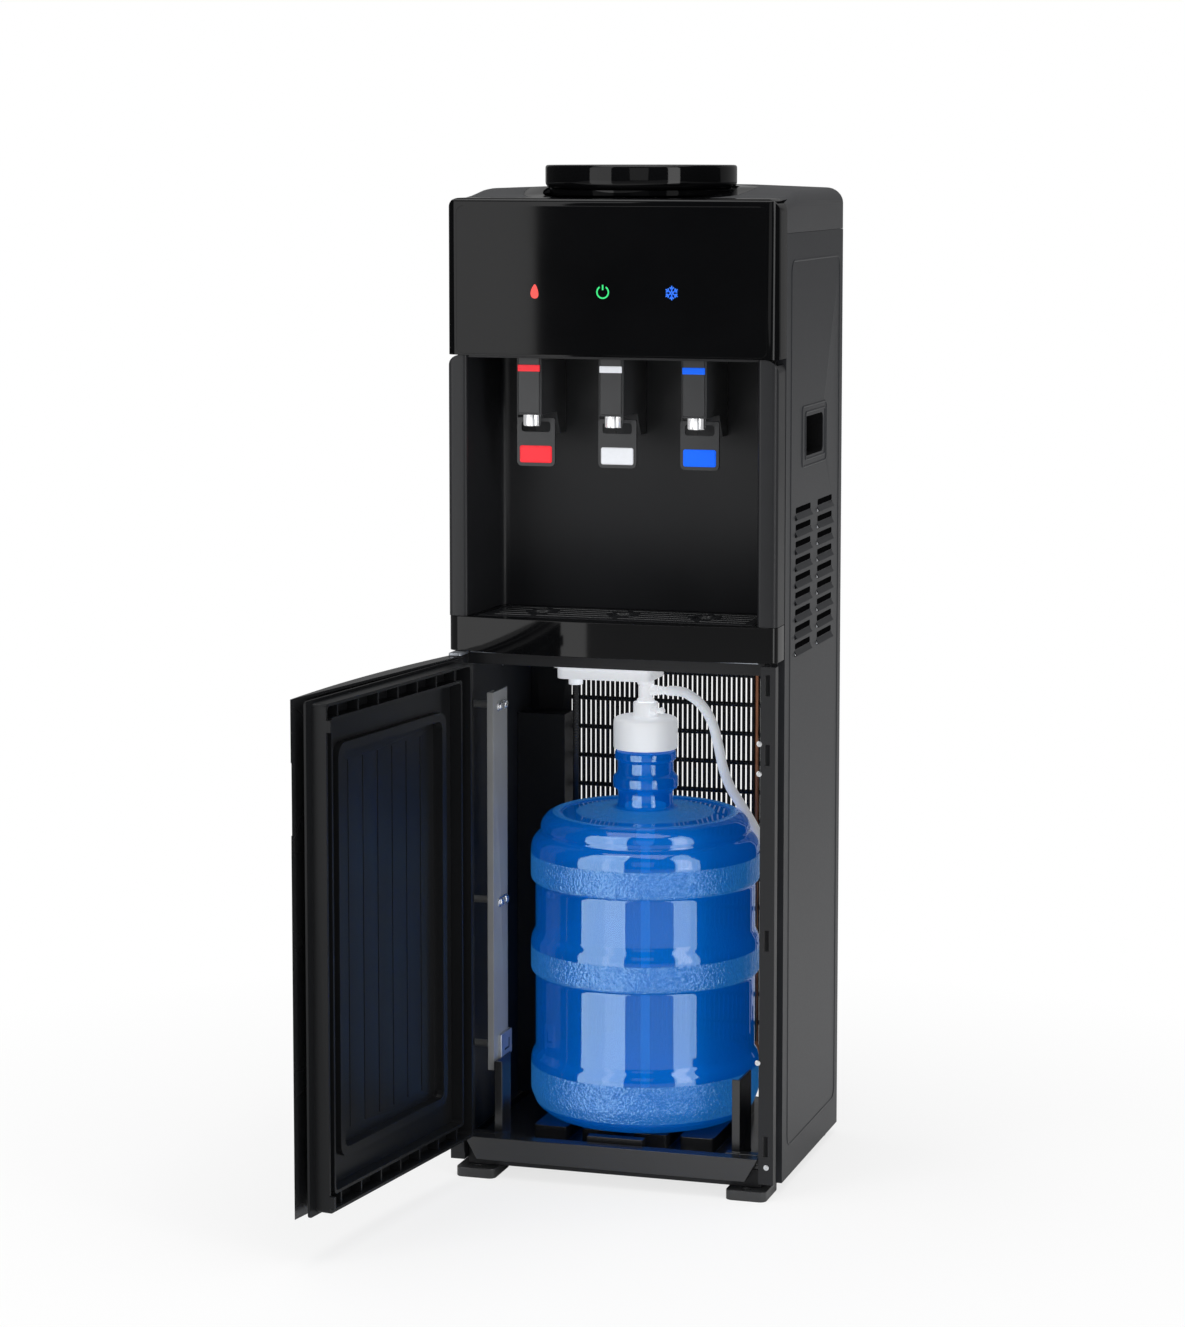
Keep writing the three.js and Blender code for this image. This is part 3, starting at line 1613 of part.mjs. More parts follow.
// Lamp board behind the front moulding, with a light pipe to each of the three lights.
function controlBoard() {
  const inside = bezelFront + moulding;
  const boardHalf = lightSpacing + 32.6;
  const board = block(
    tapMiddle - boardHalf,
    tapMiddle + boardHalf,
    inside + 4,
    inside + 5.6,
    lightZ - boardHeight / 2,
    lightZ + boardHeight / 2,
  );
  const pipes = [-1, 0, 1].map((i) =>
    crossRod("y", inside + seat, inside + 5, lightZ, tapMiddle + i * lightSpacing, 4, 3),
  );
  return board.add(joined(pipes));
}
place("control_board", controlBoard(), finish(0x1d5a38, 0.5));

// Channel on the left wall that carries the wiring up past the bottle.
function wiringDuct() {
  const right = ductX0 + 56.2;
  const back = ductFront + 32;
  const top = pumpHousingBottom - 60;
  const wall = 3;
  const outline = outlineOf([
    [ductX0, ductFront],
    [right, ductFront],
    [right, back],
    [right - wall, back],
    [right - wall, ductFront + wall],
    [ductX0 + wall, ductFront + wall],
    [ductX0 + wall, back],
    [ductX0, back],
  ]);
  const cap = block(ductX0, right, ductFront, back, top - wall, top);
  return carried(outline, "z", baseFloor + seat, top).add(cap);
}
place("wiring_duct", wiringDuct(), satinBlack);

// The whole stands with the middle of its footprint, door open, at the origin.
const footprint = new THREE.Box3().setFromObject(machine);
const centre = footprint.getCenter(new THREE.Vector3());
machine.position.set(-centre.x, -centre.y, -footprint.min.z);

export default machine;
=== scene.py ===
"""A bottom load water cooler with its bay door open, dressed and lit as in a product picture."""

import json
import math

import bmesh
import bpy
import numpy as np
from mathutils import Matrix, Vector

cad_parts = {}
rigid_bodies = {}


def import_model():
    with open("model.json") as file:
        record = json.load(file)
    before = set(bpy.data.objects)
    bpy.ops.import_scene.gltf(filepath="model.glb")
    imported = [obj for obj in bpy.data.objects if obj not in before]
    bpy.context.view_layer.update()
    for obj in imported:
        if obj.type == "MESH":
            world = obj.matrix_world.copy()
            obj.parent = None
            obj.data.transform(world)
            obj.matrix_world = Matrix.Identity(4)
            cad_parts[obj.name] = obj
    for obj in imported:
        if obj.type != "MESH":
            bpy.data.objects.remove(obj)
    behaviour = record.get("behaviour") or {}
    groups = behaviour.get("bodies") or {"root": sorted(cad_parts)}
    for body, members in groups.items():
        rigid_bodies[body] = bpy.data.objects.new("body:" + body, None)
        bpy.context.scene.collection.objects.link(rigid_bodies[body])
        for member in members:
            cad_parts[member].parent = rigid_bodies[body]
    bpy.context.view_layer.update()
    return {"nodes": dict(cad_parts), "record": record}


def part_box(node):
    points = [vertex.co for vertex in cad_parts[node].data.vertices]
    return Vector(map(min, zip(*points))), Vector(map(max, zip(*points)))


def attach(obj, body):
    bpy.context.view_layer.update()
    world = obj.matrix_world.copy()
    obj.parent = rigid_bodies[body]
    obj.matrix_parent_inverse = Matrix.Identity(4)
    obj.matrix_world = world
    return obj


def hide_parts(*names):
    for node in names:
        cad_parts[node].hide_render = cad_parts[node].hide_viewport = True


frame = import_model()

# ---- The cabinet's own axes and the camera ----
# The cooler is drawn in millimetres from the middle of its front, at the floor: X to the
# right, Y to the back, Z up. The camera is a long lens a little to the right of the cooler,
# level from side to side, with its frame shifted down so that the uprights stay near upright.
MM = 0.001
CABINET_HALF = 180
CABINET_BACK = 292
CAMERA_PLACE = (1079.0, -3579.6, 1101.4)
CAMERA_YAW = math.radians(17.04)
CAMERA_PITCH = math.radians(6.06)
CAMERA_LENS = 97.72
CAMERA_SENSOR = 36
CAMERA_SHIFT = -0.1

rear_feet = [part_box("foot_rear_" + side) for side in ("left", "right")]
origin_x = (rear_feet[0][0].x + rear_feet[1][1].x) / 2
origin_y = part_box("side_panel_right")[1].y - CABINET_BACK * MM
origin = np.array([origin_x, origin_y, 0.0])


def at(points):
    """Millimetres in the cabinet's axes become metres in the frame."""
    return np.asarray(points, float) * MM + origin


camera = bpy.data.objects.new("camera", bpy.data.cameras.new("camera"))
bpy.context.scene.collection.objects.link(camera)
camera.data.lens = CAMERA_LENS
camera.data.sensor_fit = "VERTICAL"
camera.data.sensor_height = CAMERA_SENSOR
camera.data.shift_y = CAMERA_SHIFT
camera.data.clip_end = 50
camera.rotation_euler = (math.pi / 2 - CAMERA_PITCH, 0, CAMERA_YAW)
camera.location = at(CAMERA_PLACE)
bpy.context.scene.camera = camera

# ---- The supply hose ----
# A soft white water hose that leaves the tee over the bottle's cap, arches to the right and
# goes down behind the bottle to the pump at the back. Extruded milky silicone, 10.8 mm.
HOSE_RADIUS = 5.4
HOSE_ROUTE = [
    (24.3, 138, 517),
    (36.3, 138, 517),
    (46, 141, 514),
    (60, 147, 502),
    (70, 155, 482),
    (75, 163, 456),
    (78, 172, 430),
    (83, 185, 406),
    (92, 202, 382),
    (104, 220, 350),
    (117, 234, 300),
    (127, 242, 240),
    (132, 246, 180),
    (132, 246, 162),
    (132, 246, 150.3),
]


def grid_mesh(name, points, close_rows=False):
    """Mesh over a grid of points[i, j]: each quad joins four neighbours, the last column joins
    the first, closed rows do the same, and points that fall together are merged."""
    rows, columns = points.shape[:2]
    i = np.arange(rows if close_rows else rows - 1)[:, None]
    j = np.arange(columns)[None, :]
    below = (i + 1) % rows * columns
    beside = (j + 1) % columns
    corners = [i * columns + j, below + j, below + beside, i * columns + beside]
    quads = np.stack([np.broadcast_to(c, (i.size, j.size)) for c in corners], -1)
    mesh = bpy.data.meshes.new(name)
    mesh.from_pydata(points.reshape(-1, 3).tolist(), [], quads.reshape(-1, 4).tolist())
    form = bmesh.new()
    form.from_mesh(mesh)
    bmesh.ops.remove_doubles(form, verts=form.verts, dist=1e-7)
    bmesh.ops.recalc_face_normals(form, faces=form.faces)
    form.to_mesh(mesh)
    form.free()
    return mesh


def softened(mesh, sharp_angle):
    """Smooth shading, kept sharp where faces meet at more than an angle in degrees."""
    mesh.polygons.foreach_set("use_smooth", np.ones(len(mesh.polygons), bool))
    mesh.set_sharp_from_angle(angle=math.radians(sharp_angle))
    return mesh


def smooth_grid(name, points, sharp_angle, close_rows=False):
    """A grid mesh, smooth but for the edges sharper than an angle in degrees."""
    return softened(grid_mesh(name, points, close_rows), sharp_angle)


def fitted(name, mesh, body, slot, finish, *nodes):
    """The piece that shows: it rides on a body and may stand for CAD nodes."""
    piece = bpy.data.objects.new(name, mesh)
    bpy.context.scene.collection.objects.link(piece)
    mesh.materials.clear()
    mesh.materials.append(finish.material)
    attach(piece, body)
    if nodes:
        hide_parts(*nodes)
    return piece


def flowing(route, steps):
    """Smooth line through a route: Catmull-Rom pieces, each a cubic in the share of the way
    between two points with half the chord of its neighbours as tangents."""
    points = np.asarray(route, float)
    padded = np.vstack([2 * points[0] - points[1], points, 2 * points[-1] - points[-2]])
    share = np.linspace(0, len(points) - 1, steps)
    index = np.minimum(share.astype(int), len(points) - 2)
    t = (share - index)[:, None]
    a, b, c, d = (padded[index + k] for k in range(4))
    square, cube = 2 * a - 5 * b + 4 * c - d, 3 * b - a - 3 * c + d
    return 0.5 * (2 * b + (c - a) * t + square * t**2 + cube * t**3)


def tube_points(line, radii, sides, up=(0, 0, 1)):
    """Rings of a radius about each point of a line, square to its direction: the side vector
    is the direction crossed with a fixed vector, and the other one the cross of both."""
    ahead = np.gradient(line, axis=0)
    ahead /= np.linalg.norm(ahead, axis=1, keepdims=True)
    side = np.cross(ahead, np.asarray(up, float))
    side /= np.linalg.norm(side, axis=1, keepdims=True)
    other = np.cross(side, ahead)
    turn = np.linspace(0, 2 * math.pi, sides, endpoint=False)[None, :, None]
    radii = np.broadcast_to(radii, (len(line),))[:, None, None]
    rings = line[:, None] + radii * (np.cos(turn) * side[:, None] + np.sin(turn) * other[:, None])
    first = np.broadcast_to(line[0], (1, sides, 3))
    last = np.broadcast_to(line[-1], (1, sides, 3))
    return np.concatenate([first, rings, last])


class Value:
    """A socket in a finish's nodes. Arithmetic on it adds Math nodes."""

    def __init__(self, finish, socket):
        self.finish = finish
        self.socket = socket

    def _math(self, operation, first, second):
        return self.finish.node("ShaderNodeMath", {"operation": operation}, {0: first, 1: second})

    def __add__(self, other):
        return self._math("ADD", self, other)

    def __sub__(self, other):
        return self._math("SUBTRACT", self, other)

    def __rsub__(self, other):
        return self._math("SUBTRACT", other, self)

    def __mul__(self, other):
        return self._math("MULTIPLY", self, other)

    def __gt__(self, other):
        return self._math("GREATER_THAN", self, other)

    def __lt__(self, other):
        return self._math("LESS_THAN", self, other)

    __radd__ = __add__
    __rmul__ = __mul__


class Finish:
    """A material: fixed values sit on the Principled shader's sockets and nodes feed the rest."""

    def __init__(self, name, **fixed):
        self.material = bpy.data.materials.new(name)
        self.material.use_nodes = True
        self.tree = self.material.node_tree
        self.shader = self.tree.nodes["Principled BSDF"]
        for socket, value in fixed.items():
            self.shader.inputs[socket.replace("_", " ")].default_value = value

    def node(self, kind, settings=None, inputs=None, output=0):
        """Adds a node: its settings first, then the values or links of its sockets."""
        made = self.tree.nodes.new(kind)
        for key, value in (settings or {}).items():
            setattr(made, key, value)
        for key, value in (inputs or {}).items():
            if isinstance(value, Value):
                self.tree.links.new(value.socket, made.inputs[key])
            else:
                made.inputs[key].default_value = value
        return Value(self, made.outputs[output])

    def feed(self, **varying):
        """Links values to the shader's sockets."""
        for socket, value in varying.items():
            self.tree.links.new(value.socket, self.shader.inputs[socket.replace("_", " ")])
        return self

    def noise(self, size, detail=2.0):
        """Noise whose spots are about size metres across, on the object's own coordinates."""
        place = self.node("ShaderNodeTexCoord", output="Object")
        inputs = {"Vector": place, "Scale": 1 / size, "Detail": detail}
        return self.node("ShaderNodeTexNoise", inputs=inputs)

    def blend(self, share, first, second):
        """Colour between two, by a share."""
        inputs = {0: share, 6: (*first, 1), 7: (*second, 1)}
        return self.node("ShaderNodeMix", {"data_type": "RGBA"}, inputs, output=2)

    def bumped(self, height, depth, strength=1.0):
        """Normals tilted by a height that spans depth metres."""
        inputs = {"Height": height, "Distance": depth, "Strength": strength}
        return self.feed(Normal=self.node("ShaderNodeBump", inputs=inputs))


# The hose glows a little in its own colour: painted light that keeps it white in the bay.
hose_finish = Finish("hose silicone", Subsurface_Weight=0.15, IOR=1.42, Emission_Strength=0.32)
cloud = hose_finish.noise(0.02)
hose_tone = hose_finish.blend(cloud, (0.80, 0.83, 0.87), (0.86, 0.88, 0.91))
hose_finish.feed(Base_Color=hose_tone, Emission_Color=hose_tone, Roughness=0.2 + 0.1 * cloud)
hose_line = at(flowing(HOSE_ROUTE, 160))
hose_points = tube_points(hose_line, HOSE_RADIUS * MM, 20, (0, 1, 0))
hose_mesh = smooth_grid("supply_hose_tube", hose_points, 50)
hose = fitted("hose", hose_mesh, "cabinet", "white_plastic", hose_finish, "supply_hose")

# ---- Painted steel: side panels and back panel ----
# Folded sheet steel, 1.5 mm, powder coated in a dark satin grey with a fine orange peel.
# A pressed line runs round each side panel; the louvres and the carry cup are in the metal.
# At the height of the cups the coat is painted near black wherever it lies behind the outer faces:
# a painted shade for the inside of each cup, which also lays a dark band across the rear panel.
CUP_INSIDE = 179.2
CUP_Z = (770, 827)
steel_paint = Finish("powder coat", Specular_IOR_Level=0.18)
peel = steel_paint.noise(0.0016, 3)
drift = steel_paint.noise(0.25)
steel_place = steel_paint.node("ShaderNodeTexCoord", output="Object")
steel_x = steel_paint.node("ShaderNodeSeparateXYZ", inputs={0: steel_place}, output="X")
steel_z = steel_paint.node("ShaderNodeSeparateXYZ", inputs={0: steel_place}, output="Z")
# Painted shade: inside the outer faces, at the cups' height, the coat goes near black and rough.
cup_shade = (steel_x > origin_x - CUP_INSIDE * MM) * (steel_x < origin_x + CUP_INSIDE * MM)
cup_shade = cup_shade * (steel_z > CUP_Z[0] * MM) * (steel_z < CUP_Z[1] * MM)
steel_share = (0.78 + 0.22 * drift) * (1 - cup_shade)
steel_paint.feed(
    Base_Color=steel_paint.blend(steel_share, (0.0015, 0.0015, 0.002), (0.027, 0.0285, 0.032)),
    Roughness=0.34 + 0.1 * peel + 0.5 * cup_shade,
).bumped(peel, 0.0001, 0.5)


def trimmed(mesh, cutter):
    """A mesh with the space of another one cut away."""
    pair = [bpy.data.objects.new("trim", part) for part in (mesh, cutter)]
    for part in pair:
        bpy.context.scene.collection.objects.link(part)
    cut = pair[0].modifiers.new("cut", "BOOLEAN")
    cut.operation = "DIFFERENCE"
    cut.solver = "EXACT"
    cut.object = pair[1]
    graph = bpy.context.evaluated_depsgraph_get()
    result = bpy.data.meshes.new_from_object(pair[0].evaluated_get(graph))
    for part in pair:
        bpy.data.objects.remove(part)
    return result


def eased(name, node, slot, finish, width=0.6, sharp_angle=32, cutters=()):
    """Copy of a CAD node with its flat facets joined and its edges rounded by a bevel of
    width millimetres, as a pressing or a moulding has. Cutters take corners off it first."""
    body = frame["nodes"][node].parent.name.split(":", 1)[1]
    mesh = frame["nodes"][node].data.copy()
    for cutter in cutters:
        mesh = trimmed(mesh, cutter)
    form = bmesh.new()
    form.from_mesh(mesh)
    bmesh.ops.remove_doubles(form, verts=form.verts, dist=1e-6)
    bmesh.ops.dissolve_limit(form, angle_limit=math.radians(0.4), verts=form.verts, edges=form.edges)
    form.to_mesh(mesh)
    form.free()
    softened(mesh, sharp_angle)
    piece = fitted(name, mesh, body, slot, finish, node)
    bevel = piece.modifiers.new("edge", "BEVEL")
    bevel.width = width * MM
    bevel.segments = 2
    bevel.limit_method = "ANGLE"
    bevel.angle_limit = math.radians(sharp_angle)
    bevel.use_clamp_overlap = True
    bevel.harden_normals = True
    return piece


SIDES = (("left", -1), ("right", 1))
for side, _ in SIDES:
    eased("side_panel_" + side + "_steel", "side_panel_" + side, "grey_steel", steel_paint, 0.5)
eased("rear_panel_steel", "rear_panel", "grey_steel", steel_paint, 0.4)


def rounded_rectangle(width, height, radius, corner_steps=8):
    """Outline and outward normals of a rectangle with round corners: a quarter circle about
    each corner's centre, counter-clockwise from the lower right."""
    turn = np.linspace(0, math.pi / 2, corner_steps + 1)
    quarter = np.arange(4)[:, None] * math.pi / 2 - math.pi / 2 + turn
    normals = np.stack([np.cos(quarter), np.sin(quarter)], -1).reshape(-1, 2)
    signs = np.array([[1, -1], [1, 1], [-1, 1], [-1, -1]])
    centres = signs * [width / 2 - radius, height / 2 - radius]
    return np.repeat(centres, corner_steps + 1, axis=0) + radius * normals, normals


def raised(outline, section, centre, across, up):
    """Rings of an outline, one for each (inset, height) of a section, on a plane through a
    centre: point = centre + across * u + up * v + normal * height."""
    points, normals = outline
    inset, height = np.asarray(section, float).T
    flat = points[None] - normals[None] * inset[:, None, None]
    across, up = np.asarray(across, float), np.asarray(up, float)
    normal = np.cross(across, up)
    return at(
        np.asarray(centre, float)
        + flat[..., :1] * across
        + flat[..., 1:] * up
        + height[:, None, None] * normal
    )


def plate(name, centre, width, height, radius, section, body, slot, finish, across=(1, 0, 0), up=(0, 0, 1)):
    """A flat plate that stands on a plane: rings of a rounded rectangle by a section, closed
    by a flat face at the section's first ring. Sizes are kept as (width, height, radius)."""
    rings = raised(rounded_rectangle(width, height, radius), section, centre, across, up)
    middle = np.broadcast_to(rings[:1].mean(1, keepdims=True), rings[:1].shape)
    mesh = smooth_grid(name, np.concatenate([middle, rings]), 18)
    return fitted(name, mesh, body, slot, finish)


PRESS_Y = (58, 278)
PRESS_Z = (43, 987)
PRESS_CORNER = 14
PRESS_SECTION = [(0, -0.2), (0.6, 0.45), (1.6, 0.7), (2.6, 0.45), (3.2, -0.2)]
for side, sign in SIDES:
    outline = rounded_rectangle(PRESS_Y[1] - PRESS_Y[0], PRESS_Z[1] - PRESS_Z[0], PRESS_CORNER)
    middle = (sign * CABINET_HALF, sum(PRESS_Y) / 2, sum(PRESS_Z) / 2)
    line = raised(outline, PRESS_SECTION, middle, (0, sign, 0), (0, 0, 1))
    mesh = smooth_grid("press_line_" + side, line, 60, close_rows=True)
    fitted("press_line_" + side, mesh, "cabinet", "grey_steel", steel_paint)

# ---- Painted shade in the louvres and carry cups ----
# The louvres are hoods pressed out of each side panel; a thin dark plate along the upper edge
# of each is a painted shade for its opening. The carry cup has a dark plate of painted shade
# over its floor and two rolled lines round its mouth.
LOUVRE_ROWS = 9
LOUVRE_PITCH = 18
LOUVRE_TOP = 720
LOUVRE_LONG = 70
LOUVRE_STARTS = (80, 178)
LOUVRE_SHADE_LIFT = 2.6
LOUVRE_SHADE_SIZE = (LOUVRE_LONG - 4, 6.4, 2.4)
SHADE_PLATE_SECTION = [(0.6, 0.12), (0.1, 0.1), (0, -0.1)]
SHADOW_TONES = ((0.002, 0.002, 0.002), (0.004, 0.004, 0.0045))
CUP_SHADE_PLATE = (CABINET_HALF - 19.8, 162, 798)
CUP_SHADE_PLATE_SIZE = (78, 36, 4)
CUP_RINGS = [((107, 218), (765, 831.5), 7), ((122, 211.5), (772, 825), 5)]
RING_SECTION = [(0, -0.2), (0.5, 0.7), (1.5, 0.9), (2.4, 0.5), (2.8, -0.2)]


def mottled(name, spot, tones, dull, spread, grain=None, **fixed):
    """A finish whose colour goes from one tone to another, and its roughness from dull to
    dull + spread, over the same spots. The grain is a bump of a size, a depth and a strength."""
    finish = Finish(name, **fixed)
    share = finish.noise(spot)
    finish.feed(Base_Color=finish.blend(share, *tones), Roughness=dull + spread * share)
    if grain:
        size, depth, strength = grain
        finish.bumped(finish.noise(size, 3), depth, strength)
    return finish


shade_plate_finish = mottled("louvre shadow", 0.01, SHADOW_TONES, 0.8, 0.1, Specular_IOR_Level=0.0)


def shadow(name, middle, size, sign):
    """A thin dark plate of painted shade that faces out of one side of the cabinet."""
    across, up = (0, sign, 0), (0, 0, 1)
    plate(name, middle, *size, SHADE_PLATE_SECTION, "cabinet", "grey_steel", shade_plate_finish, across, up)


# Painted shade: a dark plate along the upper edge of each louvre.
for side, sign in SIDES:
    for column, start in enumerate(LOUVRE_STARTS):
        for row in range(LOUVRE_ROWS):
            shade_z = LOUVRE_TOP - row * LOUVRE_PITCH + LOUVRE_SHADE_LIFT
            middle = (sign * CABINET_HALF, start + LOUVRE_LONG / 2, shade_z)
            shadow("louvre_mouth_%s_%d_%d" % (side, column, row), middle, LOUVRE_SHADE_SIZE, sign)
# Painted shade: a dark plate over the floor of each carry cup.
for side, sign in SIDES:
    shadow("cup_floor_" + side, (sign * CUP_SHADE_PLATE[0], *CUP_SHADE_PLATE[1:]), CUP_SHADE_PLATE_SIZE, sign)
for side, sign in SIDES:
    for index, (reach_y, reach_z, radius) in enumerate(CUP_RINGS):
        outline = rounded_rectangle(reach_y[1] - reach_y[0], reach_z[1] - reach_z[0], radius)
        middle = (sign * CABINET_HALF, sum(reach_y) / 2, sum(reach_z) / 2)
        ring = raised(outline, RING_SECTION, middle, (0, sign, 0), (0, 0, 1))
        mesh = smooth_grid("cup_ring", ring, 60, close_rows=True)
        fitted("cup_ring_%s_%d" % (side, index), mesh, "cabinet", "grey_steel", steel_paint)

# ---- Head: gloss front, matt top cover, lid ----
# The front is one injection moulding in high gloss black; the cover behind it is the same
# plastic left matt. The round lid sits in a pocket on a short neck.
GLOSS_TONES = ((0.0022, 0.0023, 0.0026), (0.0035, 0.0036, 0.004))
SATIN_TONES = ((0.009, 0.0095, 0.011), (0.013, 0.0135, 0.0155))
SATIN_GRAIN = (0.0006, 0.00006, 0.5)
gloss_black = mottled("piano gloss", 0.06, GLOSS_TONES, 0.035, 0.03, Specular_IOR_Level=0.22)
satin_black = mottled(
    "moulded satin", 0.09, SATIN_TONES, 0.34, 0.12, SATIN_GRAIN, Specular_IOR_Level=0.36
)
CORNER_RADIUS = 14
HEAD_TOP = 1050
CUTTER_MARGIN = 6
DECK_Y = np.array([-6, 20, 34, 60, 90, 120, 150, 190])
DECK_RISE = np.array([0, 0, 0, 2.2, 6.2, 10.2, 13.6, 16.5])


def shoulder_cutter(sign):
    """What lies outside the rounded shoulder: the corner of a square less a quarter circle,
    carried back along the rising deck."""
    turn = np.linspace(0, math.pi / 2, 13)
    centre_x, centre_z = CABINET_HALF - CORNER_RADIUS, HEAD_TOP - CORNER_RADIUS
    far_x, far_z = CABINET_HALF + CUTTER_MARGIN, HEAD_TOP + CUTTER_MARGIN
    x = np.append(centre_x + CORNER_RADIUS * np.cos(turn), [centre_x, far_x, far_x])
    z = np.append(centre_z + CORNER_RADIUS * np.sin(turn), [far_z, far_z, centre_z])
    rings = np.empty((len(DECK_Y), len(x), 3))
    rings[..., 0] = sign * x
    rings[..., 1] = DECK_Y[:, None]
    rings[..., 2] = z + DECK_RISE[:, None]
    ends = [np.broadcast_to(ring.mean(0), (1, len(x), 3)) for ring in (rings[0], rings[-1])]
    return grid_mesh("shoulder", at(np.concatenate([ends[0], rings, ends[1]])))


shoulders = [shoulder_cutter(sign) for sign in (-1, 1)]
eased("bezel_moulding", "front_bezel", "gloss_black", gloss_black, 0.8, cutters=shoulders)
FACE_MIDDLE = (0, 2, 964.5)
FACE_SIZE = (337, 155, 8)
FACE_SECTION = [(0.3, 0.35), (0.1, 0.25), (0, 0.05), (0, -0.3)]
plate("bezel_face", FACE_MIDDLE, *FACE_SIZE, FACE_SECTION, "cabinet", "gloss_black", gloss_black)
cover_finish = Finish("cover matt", Specular_IOR_Level=0.5)
cover_grain = cover_finish.noise(0.0005, 3)
cover_finish.feed(
    Base_Color=cover_finish.blend(cover_finish.noise(0.1), (0.034, 0.035, 0.038), (0.042, 0.043, 0.046)),
    Roughness=0.42 + 0.1 * cover_grain,
).bumped(cover_grain, 0.00005, 0.5)
shoulders = [shoulder_cutter(sign) for sign in (-1, 1)]
eased("cover_moulding", "top_cover", "satin_black", cover_finish, 0.8, cutters=shoulders)

LID_AXIS = (0, 118)


def revolved(profile, axis, turns=96):
    """A profile of (radius, height) carried round an upright axis: x = r cos a, y = r sin a."""
    radius, height = np.asarray(profile, float).T
    angle = np.linspace(0, 2 * math.pi, turns, endpoint=False)
    ring = np.stack([np.cos(angle), np.sin(angle)], -1)
    flat = radius[:, None, None] * ring[None] + np.asarray(axis, float)
    tall = np.broadcast_to(height[:, None, None], flat.shape[:2] + (1,))
    return at(np.concatenate([flat, tall], -1))


def filleted(profile, radius, steps=5):
    """A profile with each inner corner rounded: points on a quadratic curve between the two
    places a radius away from the corner along its sides, as far as the sides are long."""
    points = np.asarray(profile, float)
    before, corner, after = points[:-2], points[1:-1], points[2:]
    back, ahead = before - corner, after - corner
    long_back = np.linalg.norm(back, axis=1, keepdims=True)
    long_ahead = np.linalg.norm(ahead, axis=1, keepdims=True)
    cut = np.minimum(radius, 0.45 * np.minimum(long_back, long_ahead))
    start, end = corner + back / long_back * cut, corner + ahead / long_ahead * cut
    t = np.linspace(0, 1, steps)[None, :, None]
    curve = (1 - t) ** 2 * start[:, None] + 2 * t * (1 - t) * corner[:, None] + t**2 * end[:, None]
    return np.vstack([points[:1], curve.reshape(-1, 2), points[-1:]])


LID_PROFILE = [(0, 1080), (60, 1080), (60, 1058.1), (96, 1058.1), (102, 1063), (102, 1084), (0, 1084)]
lid_mesh = smooth_grid("lid", revolved(filleted(LID_PROFILE, 3.2), LID_AXIS, 160), 40)
fitted("lid_drum", lid_mesh, "lid", "gloss_black", gloss_black, "top_lid")
COLLAR_PROFILE = [
    (50.7, 1038.8), (50.7, 1050.8), (93, 1050.8), (97, 1052.5), (98, 1057.8), (44, 1057.8),
    (44, 1038.8), (50.7, 1038.8),
]
collar_mesh = smooth_grid("collar", revolved(COLLAR_PROFILE, LID_AXIS), 40)
fitted("collar_neck", collar_mesh, "cabinet", "gloss_black", gloss_black, "top_collar")

# ---- Indicator marks on the front ----
# Three small marks that light up: a red flame, a green power ring and a blue snowflake.
# Each is a film of ink, printed flat, that stands 0.2 mm proud of the gloss front.
MARK_Z = 953
MARK_X = (-82, -7.6, 66.8)
MARK_FRONT = 1.45
MARK_DEPTH = 0.6
MARK_GLOW = 0.5


def printed(name, strokes, x, colour):
    """Flat marks that stand on the front: each stroke is a closed outline of (x, z) points
    from the mark's middle, joined to its own centre."""
    ink = Finish(name + " ink", Emission_Strength=MARK_GLOW, Roughness=0.3)
    tint = ink.blend(ink.noise(0.003), colour, tuple(0.85 * c for c in colour))
    ink.feed(Base_Color=tint, Emission_Color=tint)
    form = bmesh.new()
    for outline in strokes:
        flat = np.asarray(outline, float)
        front = at(np.column_stack([x + flat[:, 0], np.full(len(flat), MARK_FRONT), MARK_Z + flat[:, 1]]))
        corners = [form.verts.new(p) for p in front]
        face = form.faces.new(corners)
        walls = bmesh.ops.extrude_face_region(form, geom=[face])["geom"]
        moved = [v for v in walls if isinstance(v, bmesh.types.BMVert)]
        bmesh.ops.translate(form, verts=moved, vec=(0, MARK_DEPTH * MM, 0))
    bmesh.ops.recalc_face_normals(form, faces=form.faces)
    mesh = bpy.data.meshes.new(name)
    form.to_mesh(mesh)
    form.free()
    return fitted(name, mesh, "cabinet", "gloss_black", ink)


def bar(x0, z0, x1, z1, half_width):
    """A straight stroke between two points."""
    way = np.array([x1 - x0, z1 - z0], float)
    side = np.array([-way[1], way[0]]) / np.linalg.norm(way) * half_width
    start, end = np.array([x0, z0]), np.array([x1, z1])
    return np.array([start + side, start - side, end - side, end + side])


def arc_band(radius, half_width, start, end, steps=40):
    """A stroke along part of a circle, angles in degrees."""
    angle = np.radians(np.linspace(start, end, steps))
    ring = np.stack([np.cos(angle), np.sin(angle)], -1)
    return np.vstack([ring * (radius + half_width), ring[::-1] * (radius - half_width)])


flame_turn = np.linspace(0, 2 * math.pi, 48, endpoint=False)
flame_height = -np.cos(flame_turn)
flame_width = 4.2 * np.sin(flame_turn) * (1 - 0.42 * flame_height) * 0.95
flame_shape = np.column_stack([flame_width + 0.5 * flame_height**2, 7.4 * flame_height])
printed("mark_flame", [flame_shape], MARK_X[0], (0.85, 0.06, 0.05))
power_shape = [arc_band(6.2, 0.75, 122, 418), bar(0, 2.2, 0, 7.6, 0.8)]
printed("mark_power", power_shape, MARK_X[1], (0.02, 0.62, 0.16))
flake = []
for arm in range(6):
    turn = math.radians(60 * arm)
    spin = np.array([[math.cos(turn), -math.sin(turn)], [math.sin(turn), math.cos(turn)]])
    for x0, z0, x1, z1 in ((0, 0.6, 0, 7.4), (0, 3.6, 2.2, 5.8), (0, 3.6, -2.2, 5.8)):
        flake.append(bar(x0, z0, x1, z1, 0.62) @ spin.T)
printed("mark_snow", flake, MARK_X[2], (0.02, 0.16, 0.85))

